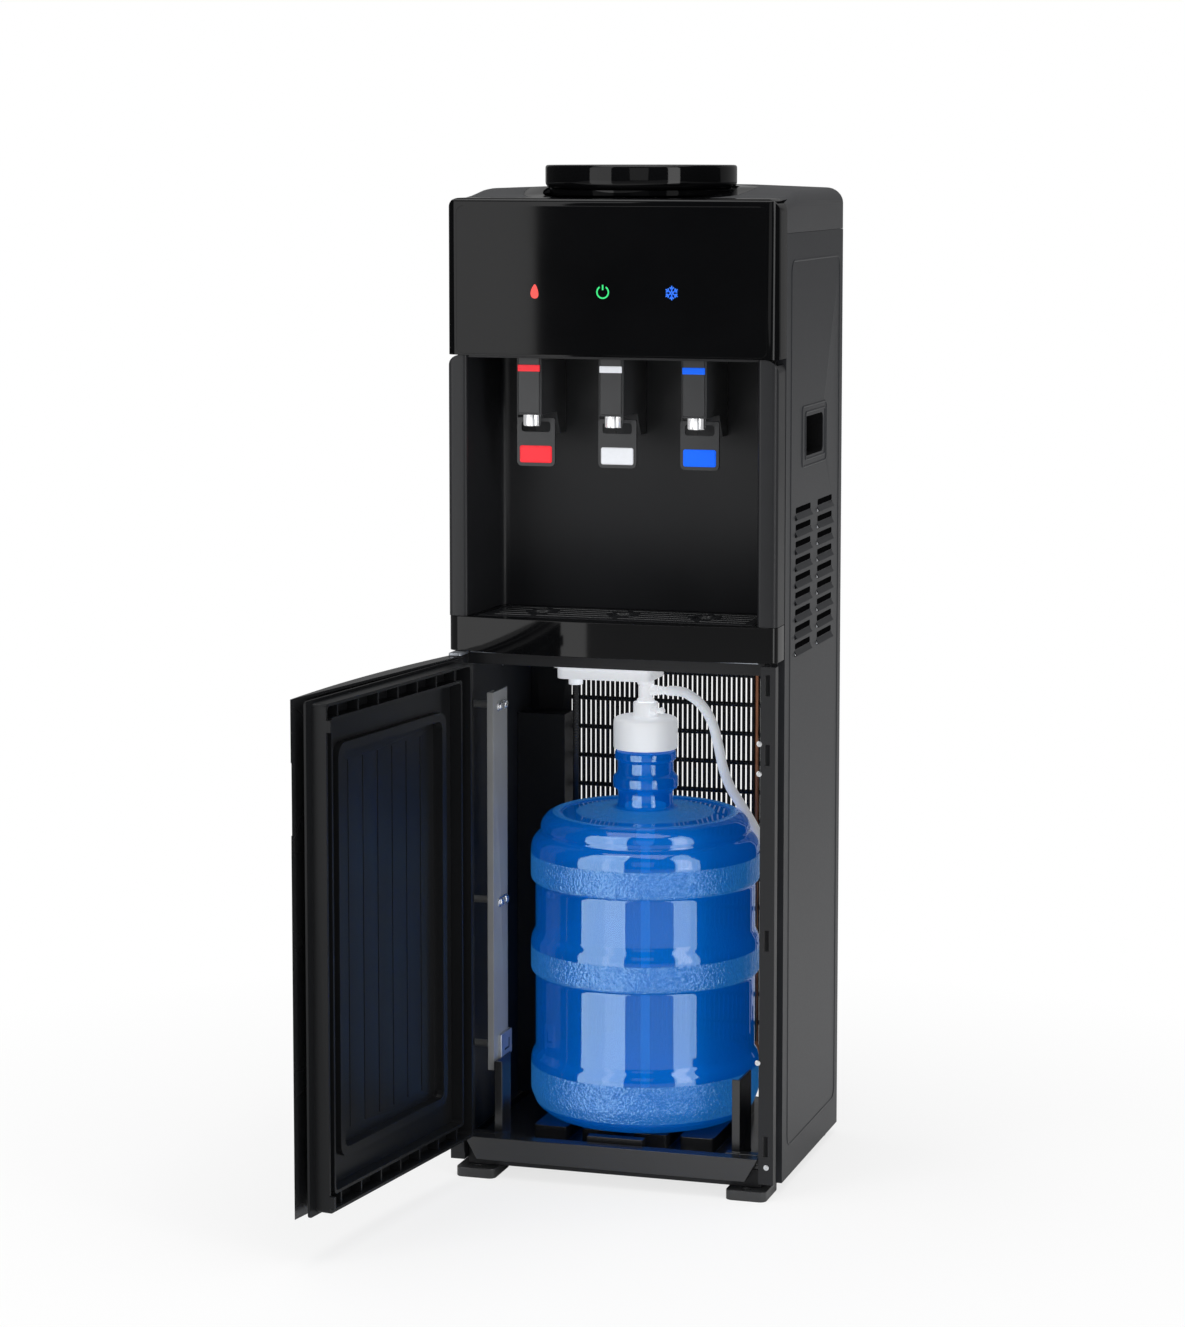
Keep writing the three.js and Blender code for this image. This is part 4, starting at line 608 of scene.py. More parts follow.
# ---- Niche, tray and grille ----
# The niche is one satin moulding that carries the taps. The tray's front is gloss and bowed;
# the grille lifts off, and the pan under it lifts out.
eased("niche_moulding", "niche_liner", "satin_black", satin_black, 0.8)
eased("tray_front", "tray_fascia", "gloss_black", gloss_black, 1.0)
eased("pan_moulding", "drip_pan", "satin_black", satin_black, 0.5)
SHEEN_TONES = ((0.011, 0.0115, 0.013), (0.015, 0.0155, 0.017))
sheen_black = mottled("polished moulding", 0.05, SHEEN_TONES, 0.2, 0.08, Specular_IOR_Level=0.8)
eased("grille_moulding", "drip_grille", "satin_black", sheen_black, 0.6)

# ---- Taps ----
# Each tap is a satin moulded housing with a colour band, a turned and chromed sleeve, and a
# paddle that a cup pushes, with a coloured plate pressed into it. The bright upright strips
# that run down the sleeve are painted highlights; band and plates glow with painted light.
TAP_X = {"hot": -95, "normal": -5, "cold": 85}
TAP_INK = {"hot": (0.86, 0.016, 0.03), "normal": (0.72, 0.74, 0.78), "cold": (0.0, 0.13, 0.92)}
BAND_FRONT = 21.95
BAND_Z = 871.5
BAND_SIZE = (24.4, 7, 0.6)
PLATE_Z = 778.75
PLATE_SIZE = (34, 16.5, 1.6)
RIM_SIZE = (PLATE_SIZE[0] + 1.6, PLATE_SIZE[1] + 1.6, 2.2)
RIDGE_FRONT = 21.9
RIDGE_Z = 847
RIDGE_SIZE = (0.8, 70, 0.35)
NOZZLE_Y = 33.8
PADDLE_FRONT = 46
CHROME_TONES = ((0.80, 0.81, 0.83), (0.90, 0.91, 0.92))
chrome = mottled("chrome plate", 0.01, CHROME_TONES, 0.05, 0.05, Metallic=1.0)
tap_finish = Finish("tap satin", Specular_IOR_Level=0.5)
tap_grain = tap_finish.noise(0.0005, 3)
tap_finish.feed(
    Base_Color=tap_finish.blend(tap_finish.noise(0.03), (0.026, 0.027, 0.029), (0.034, 0.035, 0.037)),
    Roughness=0.3 + 0.1 * tap_grain,
).bumped(tap_grain, 0.00004, 0.5)
PLATE_SECTION = [(0.5, 0.7), (0.15, 0.55), (0, 0.3), (0, -0.3)]
BORDER_SECTION = [(0.9, 0.25), (0.6, 0.5), (0.2, 0.5), (0, 0.3), (0, -0.2)]
RIDGE_SECTION = [(0.3, 0.5), (0, 0)]
NOZZLE_PROFILE = [
    (6.8, 810), (8.5, 810), (9.3, 811), (9.3, 821.7), (6.8, 821.7), (6.8, 810),
]
# Painted highlights: upright strips across each sleeve, in mm from its axis.
SLEEVE_PAINTED_HIGHLIGHTS = [(-8.8, 3.0), (5.2, 8.5)]
BORDER_TONES = ((0.62, 0.63, 0.66), (0.72, 0.73, 0.76))
border_finish = mottled("plate border", 0.01, BORDER_TONES, 0.3, 0.1, Specular_IOR_Level=0.5)
for tap, x in TAP_X.items():
    eased("tap_body_" + tap, "tap_housing_" + tap, "satin_black", tap_finish, 0.6)
    eased("tap_lever_" + tap, "paddle_" + tap, "satin_black", tap_finish, 0.5)
    nozzle = smooth_grid("nozzle_" + tap, revolved(NOZZLE_PROFILE, (x, NOZZLE_Y), 64), 40)
    # Painted highlights: within the strips the sleeve's colour and glow go bright, in place of reflections.
    sleeve = Finish("chrome sleeve " + tap, Metallic=1.0, Emission_Strength=0.5)
    sleeve_place = sleeve.node("ShaderNodeTexCoord", output="Object")
    side_place = sleeve.node("ShaderNodeSeparateXYZ", inputs={0: sleeve_place}, output="X")
    painted_highlight = 0
    for near, far in SLEEVE_PAINTED_HIGHLIGHTS:
        painted_highlight = painted_highlight + (side_place > origin_x + (x + near) * MM) * (side_place < origin_x + (x + far) * MM)
    sleeve.feed(
        Base_Color=sleeve.blend(painted_highlight, (0.55, 0.56, 0.58), (0.88, 0.89, 0.90)),
        Emission_Color=sleeve.blend(painted_highlight, (0.02, 0.02, 0.02), (0.9, 0.9, 0.92)),
        Roughness=0.08 + 0.05 * sleeve.noise(0.01),
    )
    fitted("nozzle_" + tap, nozzle, "cabinet", "chrome", sleeve, "tap_nozzle_" + tap)
    # Band, plate and coloured rims glow a little in their own colour: painted light, not a lamp.
    ink = Finish(tap + " plate", Specular_IOR_Level=0.3, Coat_Weight=0.1, Emission_Strength=0.22)
    tint = ink.noise(0.004)
    shade = ink.blend(tint, TAP_INK[tap], tuple(0.92 * c for c in TAP_INK[tap]))
    ink.feed(Base_Color=shade, Emission_Color=shade, Roughness=0.25 + 0.1 * tint)
    lever = "lever_" + tap
    band_middle = (x, BAND_FRONT, BAND_Z)
    plate("band_" + tap, band_middle, *BAND_SIZE, PLATE_SECTION, "cabinet", "satin_black", ink)
    label_middle = (x, PADDLE_FRONT, PLATE_Z)
    plate("label_" + tap, label_middle, *PLATE_SIZE, PLATE_SECTION, lever, "satin_black", ink)
    rim = border_finish if tap == "normal" else ink
    plate("rim_" + tap, label_middle, *RIM_SIZE, BORDER_SECTION, lever, "satin_black", rim)
    for side, sign in SIDES:
        name = "ridge_%s_%s" % (tap, side[0])
        middle = (x + sign * (BAND_SIZE[0] / 2 + 0.5), RIDGE_FRONT, RIDGE_Z)
        plate(name, middle, *RIDGE_SIZE, RIDGE_SECTION, "cabinet", "satin_black", tap_finish)

# ---- Bay: frame, shelf, brackets ----
# Behind the door stand two satin posts under a galvanised shelf, with a satin zinc channel on
# the left wall. The tray and its beam are polished mouldings, the base pan is coated black,
# and the feet are plastic in front and rubber behind.
zinc = Finish("galvanised", Metallic=0.85)
spangle_place = zinc.node("ShaderNodeTexCoord", output="Object")
spangle_inputs = {"Vector": spangle_place, "Scale": 260.0}
spangle = zinc.node("ShaderNodeTexVoronoi", inputs=spangle_inputs, output="Color")
spangle_value = zinc.node("ShaderNodeSeparateColor", inputs={0: spangle}, output=0)
bloom = zinc.noise(0.05)
zinc.feed(
    Base_Color=zinc.blend(0.35 * spangle_value + 0.65 * bloom, (0.40, 0.43, 0.47), (0.55, 0.58, 0.62)),
    Roughness=0.36 + 0.1 * spangle_value,
)
eased("bay_posts", "bay_frame", "satin_black", satin_black, 0.6)
CHANNEL_TONES = ((0.27, 0.275, 0.28), (0.34, 0.345, 0.35))
channel_finish = mottled(
    "satin zinc", 0.04, CHANNEL_TONES, 0.42, 0.1, Metallic=0.35, Specular_IOR_Level=0.4
)
eased("wall_bracket_plate", "wall_bracket", "zinc", channel_finish, 0.3)
for node in ("mid_shelf", "hinge_bracket_top"):
    eased(node + "_plate", node, "zinc", zinc, 0.3)
for node in ("base_pan", "hinge_bracket_bottom"):
    eased(node + "_plate", node, "zinc", satin_black, 0.3)
for node in ("base_tray", "base_beam"):
    eased(node + "_moulding", node, "satin_black", sheen_black, 0.8)
eased("wiring_duct_moulding", "wiring_duct", "satin_black", satin_black, 0.6)
rubber = Finish("rubber", Specular_IOR_Level=0.4)
scuff = rubber.noise(0.004)
rubber.feed(
    Base_Color=rubber.blend(scuff, (0.012, 0.012, 0.012), (0.022, 0.022, 0.023)),
    Roughness=0.5 + 0.2 * scuff,
).bumped(scuff, 0.0001, 0.4)
for node in ("foot_rear_left", "foot_rear_right", "cord_gland", "drain_cap"):
    eased(node + "_rubber", node, "black_rubber", rubber, 0.5)
FOOT_TONES = ((0.022, 0.0225, 0.024), (0.030, 0.0305, 0.032))
foot_finish = mottled("foot plastic", 0.01, FOOT_TONES, 0.26, 0.12, Specular_IOR_Level=0.7)
for node in ("foot_front_left", "foot_front_right"):
    eased(node + "_moulding", node, "black_rubber", foot_finish, 1.2)
eased("switch_housing", "switch_plate", "satin_black", satin_black, 0.5)
for node in ("rocker_cold", "rocker_hot"):
    eased(node + "_key", node, "gloss_black", gloss_black, 0.5)

FLANGE_SECTION = [(1.0, 1.2), (0.3, 1.0), (0, 0.5), (0, 0)]
FLANGE_Y = 285
FLANGE_Z = 322
FLANGE_TALL = 486
FLANGE_CORNER = 2
FLANGES = {"left": (-154, 48), "right": (166, 24)}
for side, (x, wide) in FLANGES.items():
    middle, size = (x, FLANGE_Y, FLANGE_Z), (wide, FLANGE_TALL, FLANGE_CORNER)
    plate("rear_flange_" + side, middle, *size, FLANGE_SECTION, "cabinet", "grey_steel", satin_black)

# ---- Screws and studs ----
# Small bright pan-head screws with a cross recess hold the walls, posts and feet, and the
# zinc channel carries two oblong washers and a catch plate. All are zinc-plated steel.
SCREW_SECTION = [
    (0, 0.5), (0.9, 0.9), (1.3, 2.0), (1.9, 2.3), (2.8, 2.1), (3.5, 1.3), (3.7, 0.4), (3.7, -0.4),
]
WALL_X = -178.5
WALL_SCREWS = [(252.8, 400.6), (259.4, 280.7), (251.5, 198.9), (258.2, 94.9), (182.3, 533.8)]
POST_FRONT = 3
POST_SCREWS = [(161.8, 486.6), (161.8, 455.1), (161.8, 148.4), (171.6, 36.6)]
POST_HEAD = (0.8, 0.16)
FOOT_TOP = 10.7
FOOT_SCREWS = [(-149.8, 44), (149.5, 24)]
CHANNEL_X = -138.5
CHANNEL_STUDS = [(58, 506), (59.4, 292)]
STUD_LIFT = 1.4
STUD_HEADS = [("screw", -8, 1.1), ("nut", 8, 1.25)]
INWARD = ((0, 1, 0), (0, 0, 1))
PLATING_TONES = ((0.66, 0.67, 0.69), (0.78, 0.79, 0.80))
plating = mottled("bright plating", 0.002, PLATING_TONES, 0.22, 0.12, Metallic=1.0)


def screw(name, centre, across, up, size=1.0, flatness=1.0):
    """A pan head: rings of a radius and a height by the section, with the middle sunk in the
    form of a cross: radius in the recess = r (0.6 + 0.4 cos 4a)."""
    radius, height = size * np.asarray(SCREW_SECTION, float).T * [[1], [flatness]]
    angle = np.linspace(0, 2 * math.pi, 32, endpoint=False)
    across, up = np.asarray(across, float), np.asarray(up, float)
    star = np.where(radius[:, None] < 1.5 * size, 0.6 + 0.4 * np.cos(4 * angle)[None, :], 1.0)
    reach = radius[:, None] * star
    flat = reach[..., None] * (np.cos(angle)[None, :, None] * across + np.sin(angle)[None, :, None] * up)
    rings = at(np.asarray(centre, float) + flat + height[:, None, None] * np.cross(across, up))
    return fitted(name, smooth_grid(name, rings, 40), "cabinet", "zinc", plating)


for index, (y, z) in enumerate(WALL_SCREWS):
    screw("wall_screw_%d" % index, (WALL_X, y, z), *INWARD)
for index, (x, z) in enumerate(POST_SCREWS):
    screw("post_screw_%d" % index, (x, POST_FRONT, z), (1, 0, 0), (0, 0, 1), *POST_HEAD)
for index, (x, y) in enumerate(FOOT_SCREWS):
    screw("foot_screw_%d" % index, (x, y, FOOT_TOP), (1, 0, 0), (0, 1, 0))
WASHER_SIZE = (30, 11, 5.4)
WASHER_SECTION = [(1.0, 1.6), (0.3, 1.4), (0, 1.0), (0, -0.3)]
for index, (y, z) in enumerate(CHANNEL_STUDS):
    name, middle = "washer_%d" % index, (CHANNEL_X, y, z)
    plate(name, middle, *WASHER_SIZE, WASHER_SECTION, "cabinet", "zinc", plating, *INWARD)
    for head, reach, size in STUD_HEADS:
        place = (CHANNEL_X + STUD_LIFT, y + reach, z)
        screw("washer_%s_%d" % (head, index), place, *INWARD, size)
CATCH_SECTION = [(1.2, 3.4), (0.4, 3.2), (0, 2.6), (0, -0.3)]
SLOT_SECTION = [(0.3, 0.45), (0, 0)]
CATCH_MIDDLE = (CHANNEL_X, 64, 133)
CATCH_SIZE = (36, 27, 2)
SLOT_X = CHANNEL_X + 3.2
SLOTS = {
    "catch_slot_long": ((SLOT_X, 64, 128), (16, 2.4, 1)),
    "catch_slot_short": ((SLOT_X, 71, 133), (2.4, 11, 1)),
}
plate("catch_plate", CATCH_MIDDLE, *CATCH_SIZE, CATCH_SECTION, "cabinet", "zinc", zinc, *INWARD)
for name, (middle, size) in SLOTS.items():
    plate(name, middle, *size, SLOT_SECTION, "cabinet", "satin_black", satin_black, *INWARD)

# ---- Bottle ----
# An exchange bottle of clear blue polycarbonate, 250 mm across, with three pebbled grip
# bands between smooth waists, a domed shoulder and a ribbed neck under its cap.
BOTTLE_AXIS = (0, 138)
BOTTLE_WALL = 1.8
PEBBLED_Z = [(66, 108), (209, 238), (310, 340), (383.5, 389)]
BOTTLE_OUTSIDE = [
    (0, 56), (62, 56), (72, 50), (92, 50), (108, 54), (119, 63), (125, 78), (125, 110),
    (124, 117), (120.6, 123), (119.9, 126), (119.9, 205), (120.8, 208), (124, 210), (125, 213),
    (125, 241), (124, 248), (120.8, 254), (119.9, 257), (119.9, 306), (120.8, 309), (124, 311),
    (125, 314), (125, 344), (123.6, 352), (119, 358.5), (114.4, 361.5), (113.6, 363.5),
    (114.6, 367), (113, 374), (107, 381), (99, 384.5), (93, 383.5), (91, 382), (60, 385), (38, 388),
    (31, 391), (30, 397), (30, 408), (35.5, 411), (35.5, 423), (30.5, 427), (30.5, 440),
    (33.5, 442), (33.5, 451), (27, 452.5), (27, 480),
]
bottle_outside = filleted(BOTTLE_OUTSIDE, 3, 5)
inward = np.gradient(bottle_outside, axis=0)
inward = np.column_stack([-inward[:, 1], inward[:, 0]])
inward /= np.linalg.norm(inward, axis=1, keepdims=True)
bottle_inside = bottle_outside + BOTTLE_WALL * inward
bottle_inside[0, 0] = 0
bottle_profile = np.vstack([bottle_outside, bottle_inside[::-1]])
# The blue glow is painted light for light scattered in the plastic; the brighter speckles it has on the
# pebbled bands are painted glints.
bottle_finish = Finish(
    "blue polycarbonate",
    Transmission_Weight=0.68,
    IOR=1.46,
    Specular_IOR_Level=0.4,
    Emission_Strength=0.13,
)
bottle_place = bottle_finish.node("ShaderNodeTexCoord", output="Object")
height = bottle_finish.node("ShaderNodeSeparateXYZ", inputs={0: bottle_place}, output="Z")
bands = 0
for low, high in PEBBLED_Z:
    bands = bands + (height > low * MM) * (height < high * MM)
pebble = bottle_finish.noise(0.0026, 1)
swirl = bottle_finish.noise(0.05, 2)
bottle_finish.feed(
    Base_Color=bottle_finish.blend(swirl, (0.002, 0.205, 0.66), (0.006, 0.245, 0.72)),
    Emission_Color=bottle_finish.blend(bands * pebble, (0.0, 0.17, 0.50), (0.14, 0.62, 1.0)),
    Roughness=0.03 + 0.12 * bands,
).bumped(pebble * bands + 0.03 * swirl, 0.003, 0.9)
bottle_mesh = smooth_grid("bottle_shell", revolved(bottle_profile, BOTTLE_AXIS, 180), 50)
fitted("water_bottle", bottle_mesh, "bottle_assembly", "bottle_blue", bottle_finish, "bottle")

# ---- Cap, probe, tee and sensing housing ----
# White mouldings: a screw cap with a round collar, the suction probe with its guide disc that
# hangs through the neck, a tee with a hose barb, and the housing under the bay's ceiling.
# The mouldings glow a little in their own colour: painted light that keeps them white in the bay.
white = Finish("white moulding", Subsurface_Weight=0.05, Specular_IOR_Level=0.5, Emission_Strength=0.36)
milk = white.noise(0.03)
milky = white.blend(milk, (0.80, 0.82, 0.85), (0.86, 0.87, 0.89))
white.feed(Base_Color=milky, Emission_Color=milky, Roughness=0.26 + 0.1 * milk)
CAP_PROFILE = [
    (27.4, 453.5), (34.2, 453.5), (35, 455), (35, 482), (34.2, 486), (30, 488), (13.5, 488),
    (13.5, 504), (0, 504), (0, 480.4), (27.4, 480.4), (27.4, 453.5),
]
PROBE_PROFILE = [
    (0, 62), (5, 62), (5, 345), (10, 349), (10, 382), (22.5, 385), (22.5, 392), (9, 394),
    (8, 420), (5.5, 422), (5.5, 479.7), (0, 479.7),
]
TEE_PROFILE = [
    (0, 504.3), (9.5, 504.3), (9.5, 507), (7.4, 508.5), (7.4, 522), (9.2, 524), (9.2, 529.7),
    (0, 529.7),
]
BARB_Z = 517
BARB_RADII = [
    (0, 5.6), (13, 5.6), (13.5, 4.4), (17, 5.0), (17.3, 4.2), (20.6, 4.8), (20.9, 4.0), (24, 4.4),
]
VENT_PLACE = (10, 124.5, 497)
VENT_RADII = [(0, 3.4), (2.5, 4.2), (6, 4.2), (7, 2.9), (10, 2.9), (11.5, 3.7), (14, 3.3), (15.5, 1.6)]
for name, profile, body, node in (
    ("cap_moulding", CAP_PROFILE, "bottle_assembly", "bottle_cap"),
    ("probe_moulding", PROBE_PROFILE, "bottle_assembly", "probe_tube"),
    ("tee_moulding", TEE_PROFILE, "cabinet", "tee_fitting"),
):
    turned_mesh = smooth_grid(name, revolved(filleted(profile, 1.2, 4), BOTTLE_AXIS), 40)
    fitted(name, turned_mesh, body, "white_plastic", white, node)


def along_x(name, start, radii, body):
    """A turned piece that lies along X: rings of a radius at each distance from its start."""
    reach, size = np.asarray(radii, float).T
    line = at(np.asarray(start, float) + np.outer(reach, (1, 0, 0)))
    mesh = smooth_grid(name, tube_points(line, size * MM, 40), 40)
    return fitted(name, mesh, body, "white_plastic", white)


along_x("hose_barb", (0, BOTTLE_AXIS[1], BARB_Z), BARB_RADII, "cabinet")
along_x("vent_plug", VENT_PLACE, VENT_RADII, "bottle_assembly")
eased("sensing_housing", "pump_housing", "white_plastic", white, 2.2)
eased("delivery_tube_clear", "delivery_tube", "white_plastic", white, 0.4)

# ---- Door ----
# A bowed gloss skin backed by a satin liner with a recessed, grooved panel in a bead frame.
# Both are injection mouldings of black plastic, and the liner closes the skin from inside.
SKIN_TONES = ((0.014, 0.0145, 0.016), (0.020, 0.0205, 0.022))
LINER_TONES = ((0.008, 0.0085, 0.0095), (0.011, 0.0115, 0.0125))
skin_finish = mottled("door gloss", 0.08, SKIN_TONES, 0.24, 0.06, Specular_IOR_Level=0.6)
eased("door_front", "door_skin", "gloss_black", skin_finish, 0.8)
liner_finish = mottled(
    "door liner satin", 0.09, LINER_TONES, 0.3, 0.1, SATIN_GRAIN, Specular_IOR_Level=0.14
)
eased("door_inner", "door_liner", "satin_black", liner_finish, 0.6)

# ---- Sensor lead ----
# The float's lead runs in a fine corrugated sleeve of black plastic, 6.8 mm across, from the
# housing's boss down behind the bottle's shoulder to the wiring channel.
LEAD_ROUTE = [
    (-77, 130, 520.7),
    (-77, 130, 500),
    (-77.5, 131.5, 478),
    (-79.5, 138, 452),
    (-84, 152, 430),
    (-90, 172, 408),
    (-96.5, 192, 385),
    (-102, 204, 366),
    (-110, 212, 346),
    (-118, 215, 328),
    (-125, 216.5, 312),
    (-128.5, 219.5, 300),
    (-129.5, 225, 294.5),
    (-129.5, 231.4, 293),
]
LEAD_RADIUS = 3.1
LEAD_RIB = 0.3
LEAD_RIBS = 110
lead_line = at(flowing(LEAD_ROUTE, 8 * LEAD_RIBS + 1))
lead_turn = np.linspace(0, 2 * math.pi * LEAD_RIBS, len(lead_line))
lead_radii = (LEAD_RADIUS + LEAD_RIB * np.sin(lead_turn)) * MM
lead_mesh = smooth_grid("lead_sleeve", tube_points(lead_line, lead_radii, 18, (1, 0, 0)), 80)
lead = fitted("sensor_lead", lead_mesh, "cabinet", "black_rubber", rubber, "sensor_conduit")

# ---- Condenser ----
# One steel tube bent to and fro up the back, with upright wires spot welded to its front and
# its rear, all dipped in black enamel; the daylight behind shows between the wires.
ENAMEL_TONES = ((0.008, 0.008, 0.009), (0.014, 0.014, 0.015))
enamel = mottled("black enamel", 0.01, ENAMEL_TONES, 0.3, 0.2, Specular_IOR_Level=0.5)
RUNS = 15
RUN_PITCH = 33
RUN_LOW = 84
RUN_HALF = 146
COIL_Y = 298
COIL_RADIUS = 2.6
WIRE_RADIUS = 1.15
WIRE_PITCH = 5.7
WIRE_SIDES = 8
WIRE_ENDS = 8
WIRE_WELD = 0.3
WIRES = 51


def serpentine(runs, half, low, pitch, y, bend_steps=12):
    """Line of a tube bent to and fro: straight runs at low + n pitch, joined by half circles
    of radius pitch / 2 at alternate ends."""
    line = []
    for n in range(runs):
        side = -1 if n % 2 else 1
        line.append([-side * half, y, low + n * pitch])
        if n == runs - 1:
            line.append([side * half, y, low + n * pitch])
            continue
        turn = np.linspace(-math.pi / 2, math.pi / 2, bend_steps)
        centre = low + (n + 0.5) * pitch
        x = side * (half + pitch / 2 * np.cos(turn))
        z = centre + pitch / 2 * np.sin(turn)
        line.extend(np.column_stack([x, np.full(bend_steps, y), z]).tolist())
    return np.array(line)


coil_line = at(serpentine(RUNS, RUN_HALF, RUN_LOW, RUN_PITCH, COIL_Y))
coil_points = tube_points(coil_line, COIL_RADIUS * MM, 16, (0, 1, 0))
coil_mesh = smooth_grid("condenser_coil", coil_points, 50)
fitted("condenser_coil", coil_mesh, "cabinet", "black_enamel", enamel, "condenser")
wire_x = (np.arange(WIRES) - (WIRES - 1) / 2) * WIRE_PITCH
wire_z = (RUN_LOW - WIRE_ENDS, RUN_LOW + (RUNS - 1) * RUN_PITCH + WIRE_ENDS)
wire_turn = np.linspace(0, 2 * math.pi, WIRE_SIDES, endpoint=False)


def upright_wires(name, y):
    """Rods of WIRE_SIDES sides that stand in a row: corner = (x + r cos a, y + r sin a) at
    the low and the high end, closed by a flat face at each end."""
    corners = np.empty((WIRES, 2, WIRE_SIDES, 3))
    corners[..., 0] = wire_x[:, None, None] + WIRE_RADIUS * np.cos(wire_turn)
    corners[..., 1] = y + WIRE_RADIUS * np.sin(wire_turn)
    corners[..., 2] = np.array(wire_z)[None, :, None]
    low = np.arange(WIRE_SIDES)
    beside = (low + 1) % WIRE_SIDES
    walls = np.stack([low, beside, beside + WIRE_SIDES, low + WIRE_SIDES], -1)
    starts = 2 * WIRE_SIDES * np.arange(WIRES)[:, None, None]
    ends = np.stack([low[::-1], low + WIRE_SIDES])
    faces = (starts + walls).reshape(-1, 4).tolist() + (starts + ends).reshape(-1, WIRE_SIDES).tolist()
    mesh = bpy.data.meshes.new(name)
    mesh.from_pydata(at(corners).reshape(-1, 3).tolist(), [], faces)
    return fitted(name, softened(mesh, 60), "cabinet", "black_enamel", enamel)


for name, reach in (("front", -1), ("rear", 1)):
    y = COIL_Y + reach * (COIL_RADIUS + WIRE_RADIUS - WIRE_WELD)
    upright_wires("condenser_wires_" + name, y)

# ---- Machinery ----
# Lines of soft copper, bare and a little tarnished; the compressor, tanks and shelf behind the
# rear panel are left as the maker leaves them, enamelled, bright or galvanised.
COPPER_TONES = ((0.62, 0.28, 0.15), (0.45, 0.18, 0.10))
copper = mottled("copper tube", 0.02, COPPER_TONES, 0.25, 0.25, Metallic=1.0)
plain = {
    "black_enamel": enamel, "copper": copper, "satin_black": satin_black, "zinc": zinc,
    "white_plastic": white, "black_rubber": rubber, "stainless": chrome, "foam": white,
    "board": satin_black,
}
slots = {row["node"]: row["material_slot"] for row in frame["record"]["subparts"]}
for name, node in frame["nodes"].items():
    if not node.hide_render:
        node.data.materials.clear()
        node.data.materials.append(plain[slots[name]].material)

# ---- Studio ----
# A white paper floor that fades into the white background. Soft boxes stand to the left and
# the right, a weak one fills from the front, one hangs above and a wide one stands behind.
# Two narrow strips light the bottle alone and draw the upright highlights on its side.
FLOOR_HALF = 12
FADE_FROM, FADE_TO = 0.42, 1.1
floor_mesh = bpy.data.meshes.new("floor")
floor_corners = [(-FLOOR_HALF, -FLOOR_HALF, 0), (FLOOR_HALF, -FLOOR_HALF, 0)]
floor_corners += [(FLOOR_HALF, FLOOR_HALF, 0), (-FLOOR_HALF, FLOOR_HALF, 0)]
floor_mesh.from_pydata(floor_corners, [], [(0, 1, 2, 3)])
floor = bpy.data.objects.new("floor", floor_mesh)
bpy.context.scene.collection.objects.link(floor)
floor_finish = Finish("paper", Roughness=0.9, Specular_IOR_Level=0.1)
fibre = floor_finish.noise(0.4)
floor_finish.feed(Base_Color=floor_finish.blend(fibre, (0.80, 0.80, 0.80), (0.82, 0.82, 0.82)))
floor_place = floor_finish.node("ShaderNodeTexCoord", output="Object")
length_of = {"operation": "LENGTH"}
away = floor_finish.node("ShaderNodeVectorMath", length_of, {0: floor_place}, output="Value")
fade_inputs = {"Value": away, "From Min": FADE_FROM, "From Max": FADE_TO, "To Min": 0.75, "To Max": 1.0}
fade = floor_finish.node("ShaderNodeMapRange", inputs=fade_inputs)
camera_ray = floor_finish.node("ShaderNodeLightPath", output="Is Camera Ray")
glow = floor_finish.node("ShaderNodeEmission", inputs={"Color": (1, 1, 1, 1), "Strength": 1.0})
veil = floor_finish.node("ShaderNodeMixShader", inputs={0: camera_ray * fade})
floor_finish.tree.links.new(floor_finish.shader.outputs[0], veil.socket.node.inputs[1])
floor_finish.tree.links.new(glow.socket, veil.socket.node.inputs[2])
floor_finish.tree.links.new(veil.socket, floor_finish.tree.nodes["Material Output"].inputs[0])
floor_mesh.materials.append(floor_finish.material)


def soft_box(name, place, target, width, height, radiance):
    """An area lamp at a place in millimetres, turned to a target. Its power follows from how
    bright its face is: power = radiance * pi * area."""
    lamp = bpy.data.objects.new(name, bpy.data.lights.new(name, "AREA"))
    bpy.context.scene.collection.objects.link(lamp)
    lamp.data.shape = "RECTANGLE"
    lamp.data.size, lamp.data.size_y = width * MM, height * MM
    lamp.data.energy = radiance * math.pi * width * height * MM * MM
    lamp.location = at(place)
    way = Vector(at(target)) - lamp.location
    lamp.rotation_euler = way.to_track_quat("-Z", "Y").to_euler()
    lamp.visible_camera = False
    lamp.visible_transmission = False
    return lamp


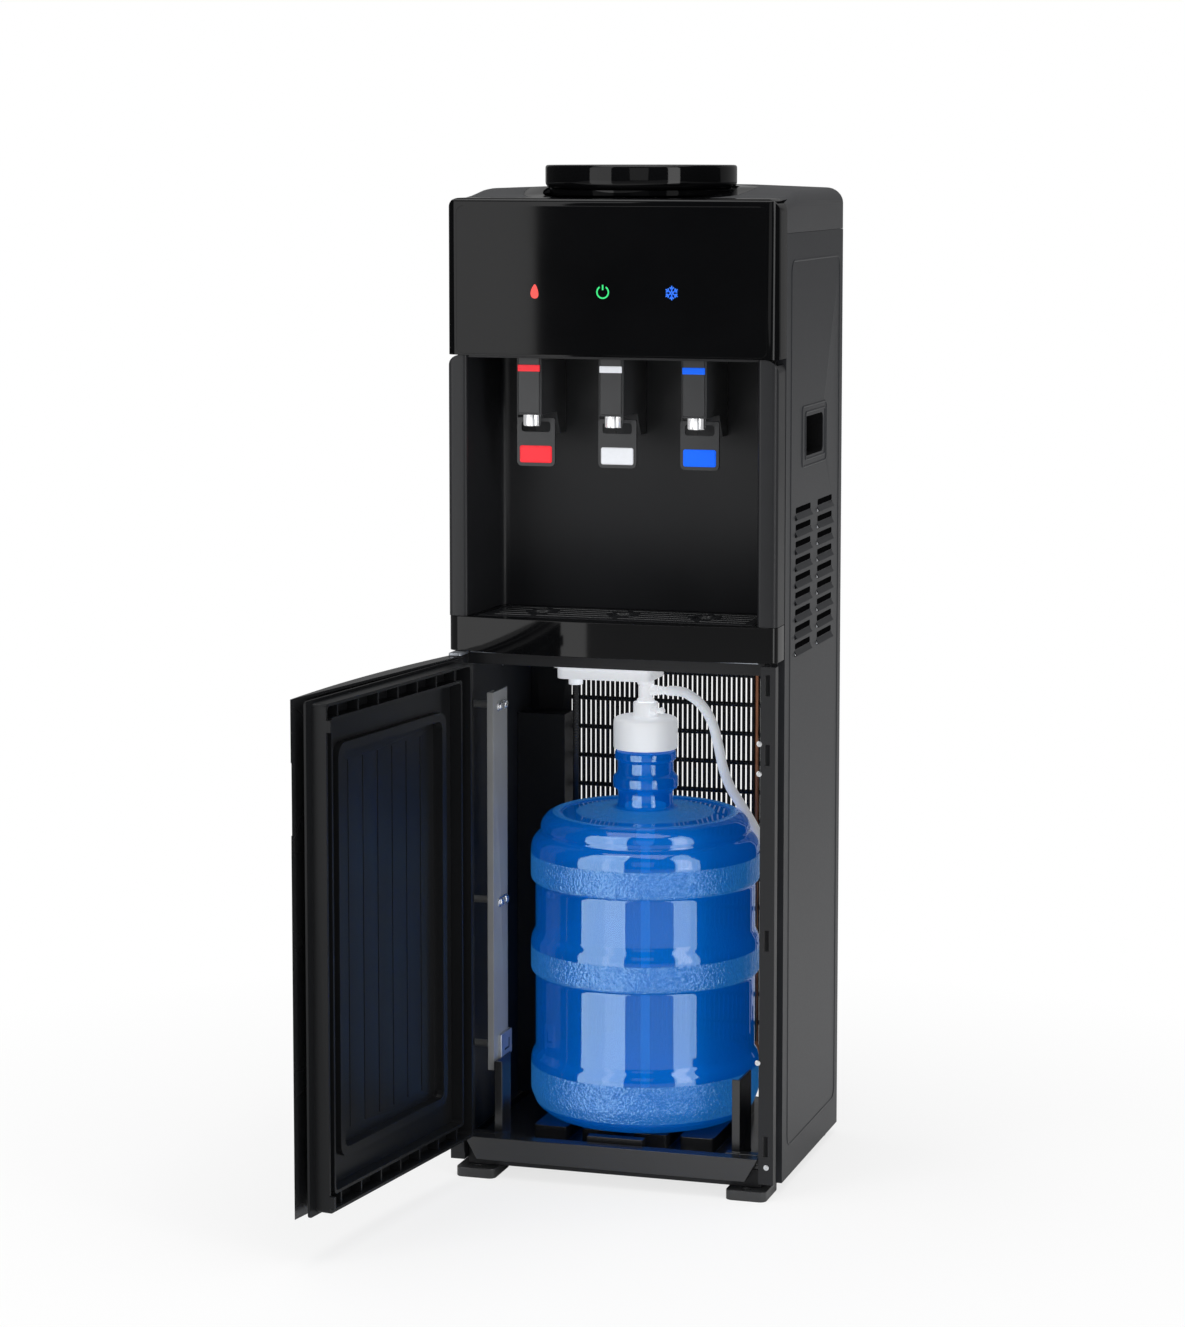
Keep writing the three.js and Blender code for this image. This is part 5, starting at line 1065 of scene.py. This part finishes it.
BOXES = {
    "left box": ((-1500, -2000, 1250), (-1500, 0, 1250), 1542, 2900, 2.1),
    "right box": ((2290, -1470, 1300), (0, 138, 1300), 720, 2600, 4.2),
    "front fill": ((900, -3600, 1500), (0, 0, 400), 1500, 1500, 0.7),
    "top box": ((0, -300, 3200), (0, 100, 0), 2600, 2600, 3.0),
    "back wall": ((600, 3600, 1500), (200, 0, 900), 7600, 3400, 0.20),
}
STRIPS = {
    "bottle strip 0": ((-74, -60, 250), (-74, 100, 250), 160, 540, 8.5),
    "bottle strip 1": ((150, -12, 250), (50, -12, 250), 80, 540, 6.5),
}
STRIP_COLOUR = (0.66, 0.92, 1.0)
for name, box in BOXES.items():
    soft_box(name, *box)
bottle_only = bpy.data.collections.new("bottle only")
bottle_only.objects.link(bpy.data.objects["water_bottle"])
for name, box in STRIPS.items():
    strip = soft_box(name, *box)
    strip.data.color = STRIP_COLOUR
    strip.visible_diffuse = False
    strip.light_linking.receiver_collection = bottle_only
SKY_LIGHT, SKY_SEEN, SKY_MIRRORED = 0.45, 1.0, 0.03
world = bpy.data.worlds.new("studio")
bpy.context.scene.world = world
world.use_nodes = True
sky = world.node_tree
paths = sky.nodes.new("ShaderNodeLightPath")
shades = [sky.nodes["Background"]] + [sky.nodes.new("ShaderNodeBackground") for _ in range(2)]
for shade, strength in zip(shades, (SKY_LIGHT, SKY_SEEN, SKY_MIRRORED)):
    shade.inputs["Color"].default_value = (1, 1, 1, 1)
    shade.inputs["Strength"].default_value = strength
either = sky.nodes.new("ShaderNodeMath")
either.operation = "MAXIMUM"
sky.links.new(paths.outputs["Is Camera Ray"], either.inputs[0])
sky.links.new(paths.outputs["Is Transmission Ray"], either.inputs[1])
seen = sky.nodes.new("ShaderNodeMixShader")
mirrored = sky.nodes.new("ShaderNodeMixShader")
sky.links.new(either.outputs[0], seen.inputs[0])
sky.links.new(paths.outputs["Is Glossy Ray"], mirrored.inputs[0])
sky.links.new(shades[0].outputs[0], mirrored.inputs[1])
sky.links.new(shades[2].outputs[0], mirrored.inputs[2])
sky.links.new(mirrored.outputs[0], seen.inputs[1])
sky.links.new(shades[1].outputs[0], seen.inputs[2])
sky.links.new(seen.outputs[0], sky.nodes["World Output"].inputs["Surface"])

bpy.context.scene.view_settings.view_transform = "Standard"
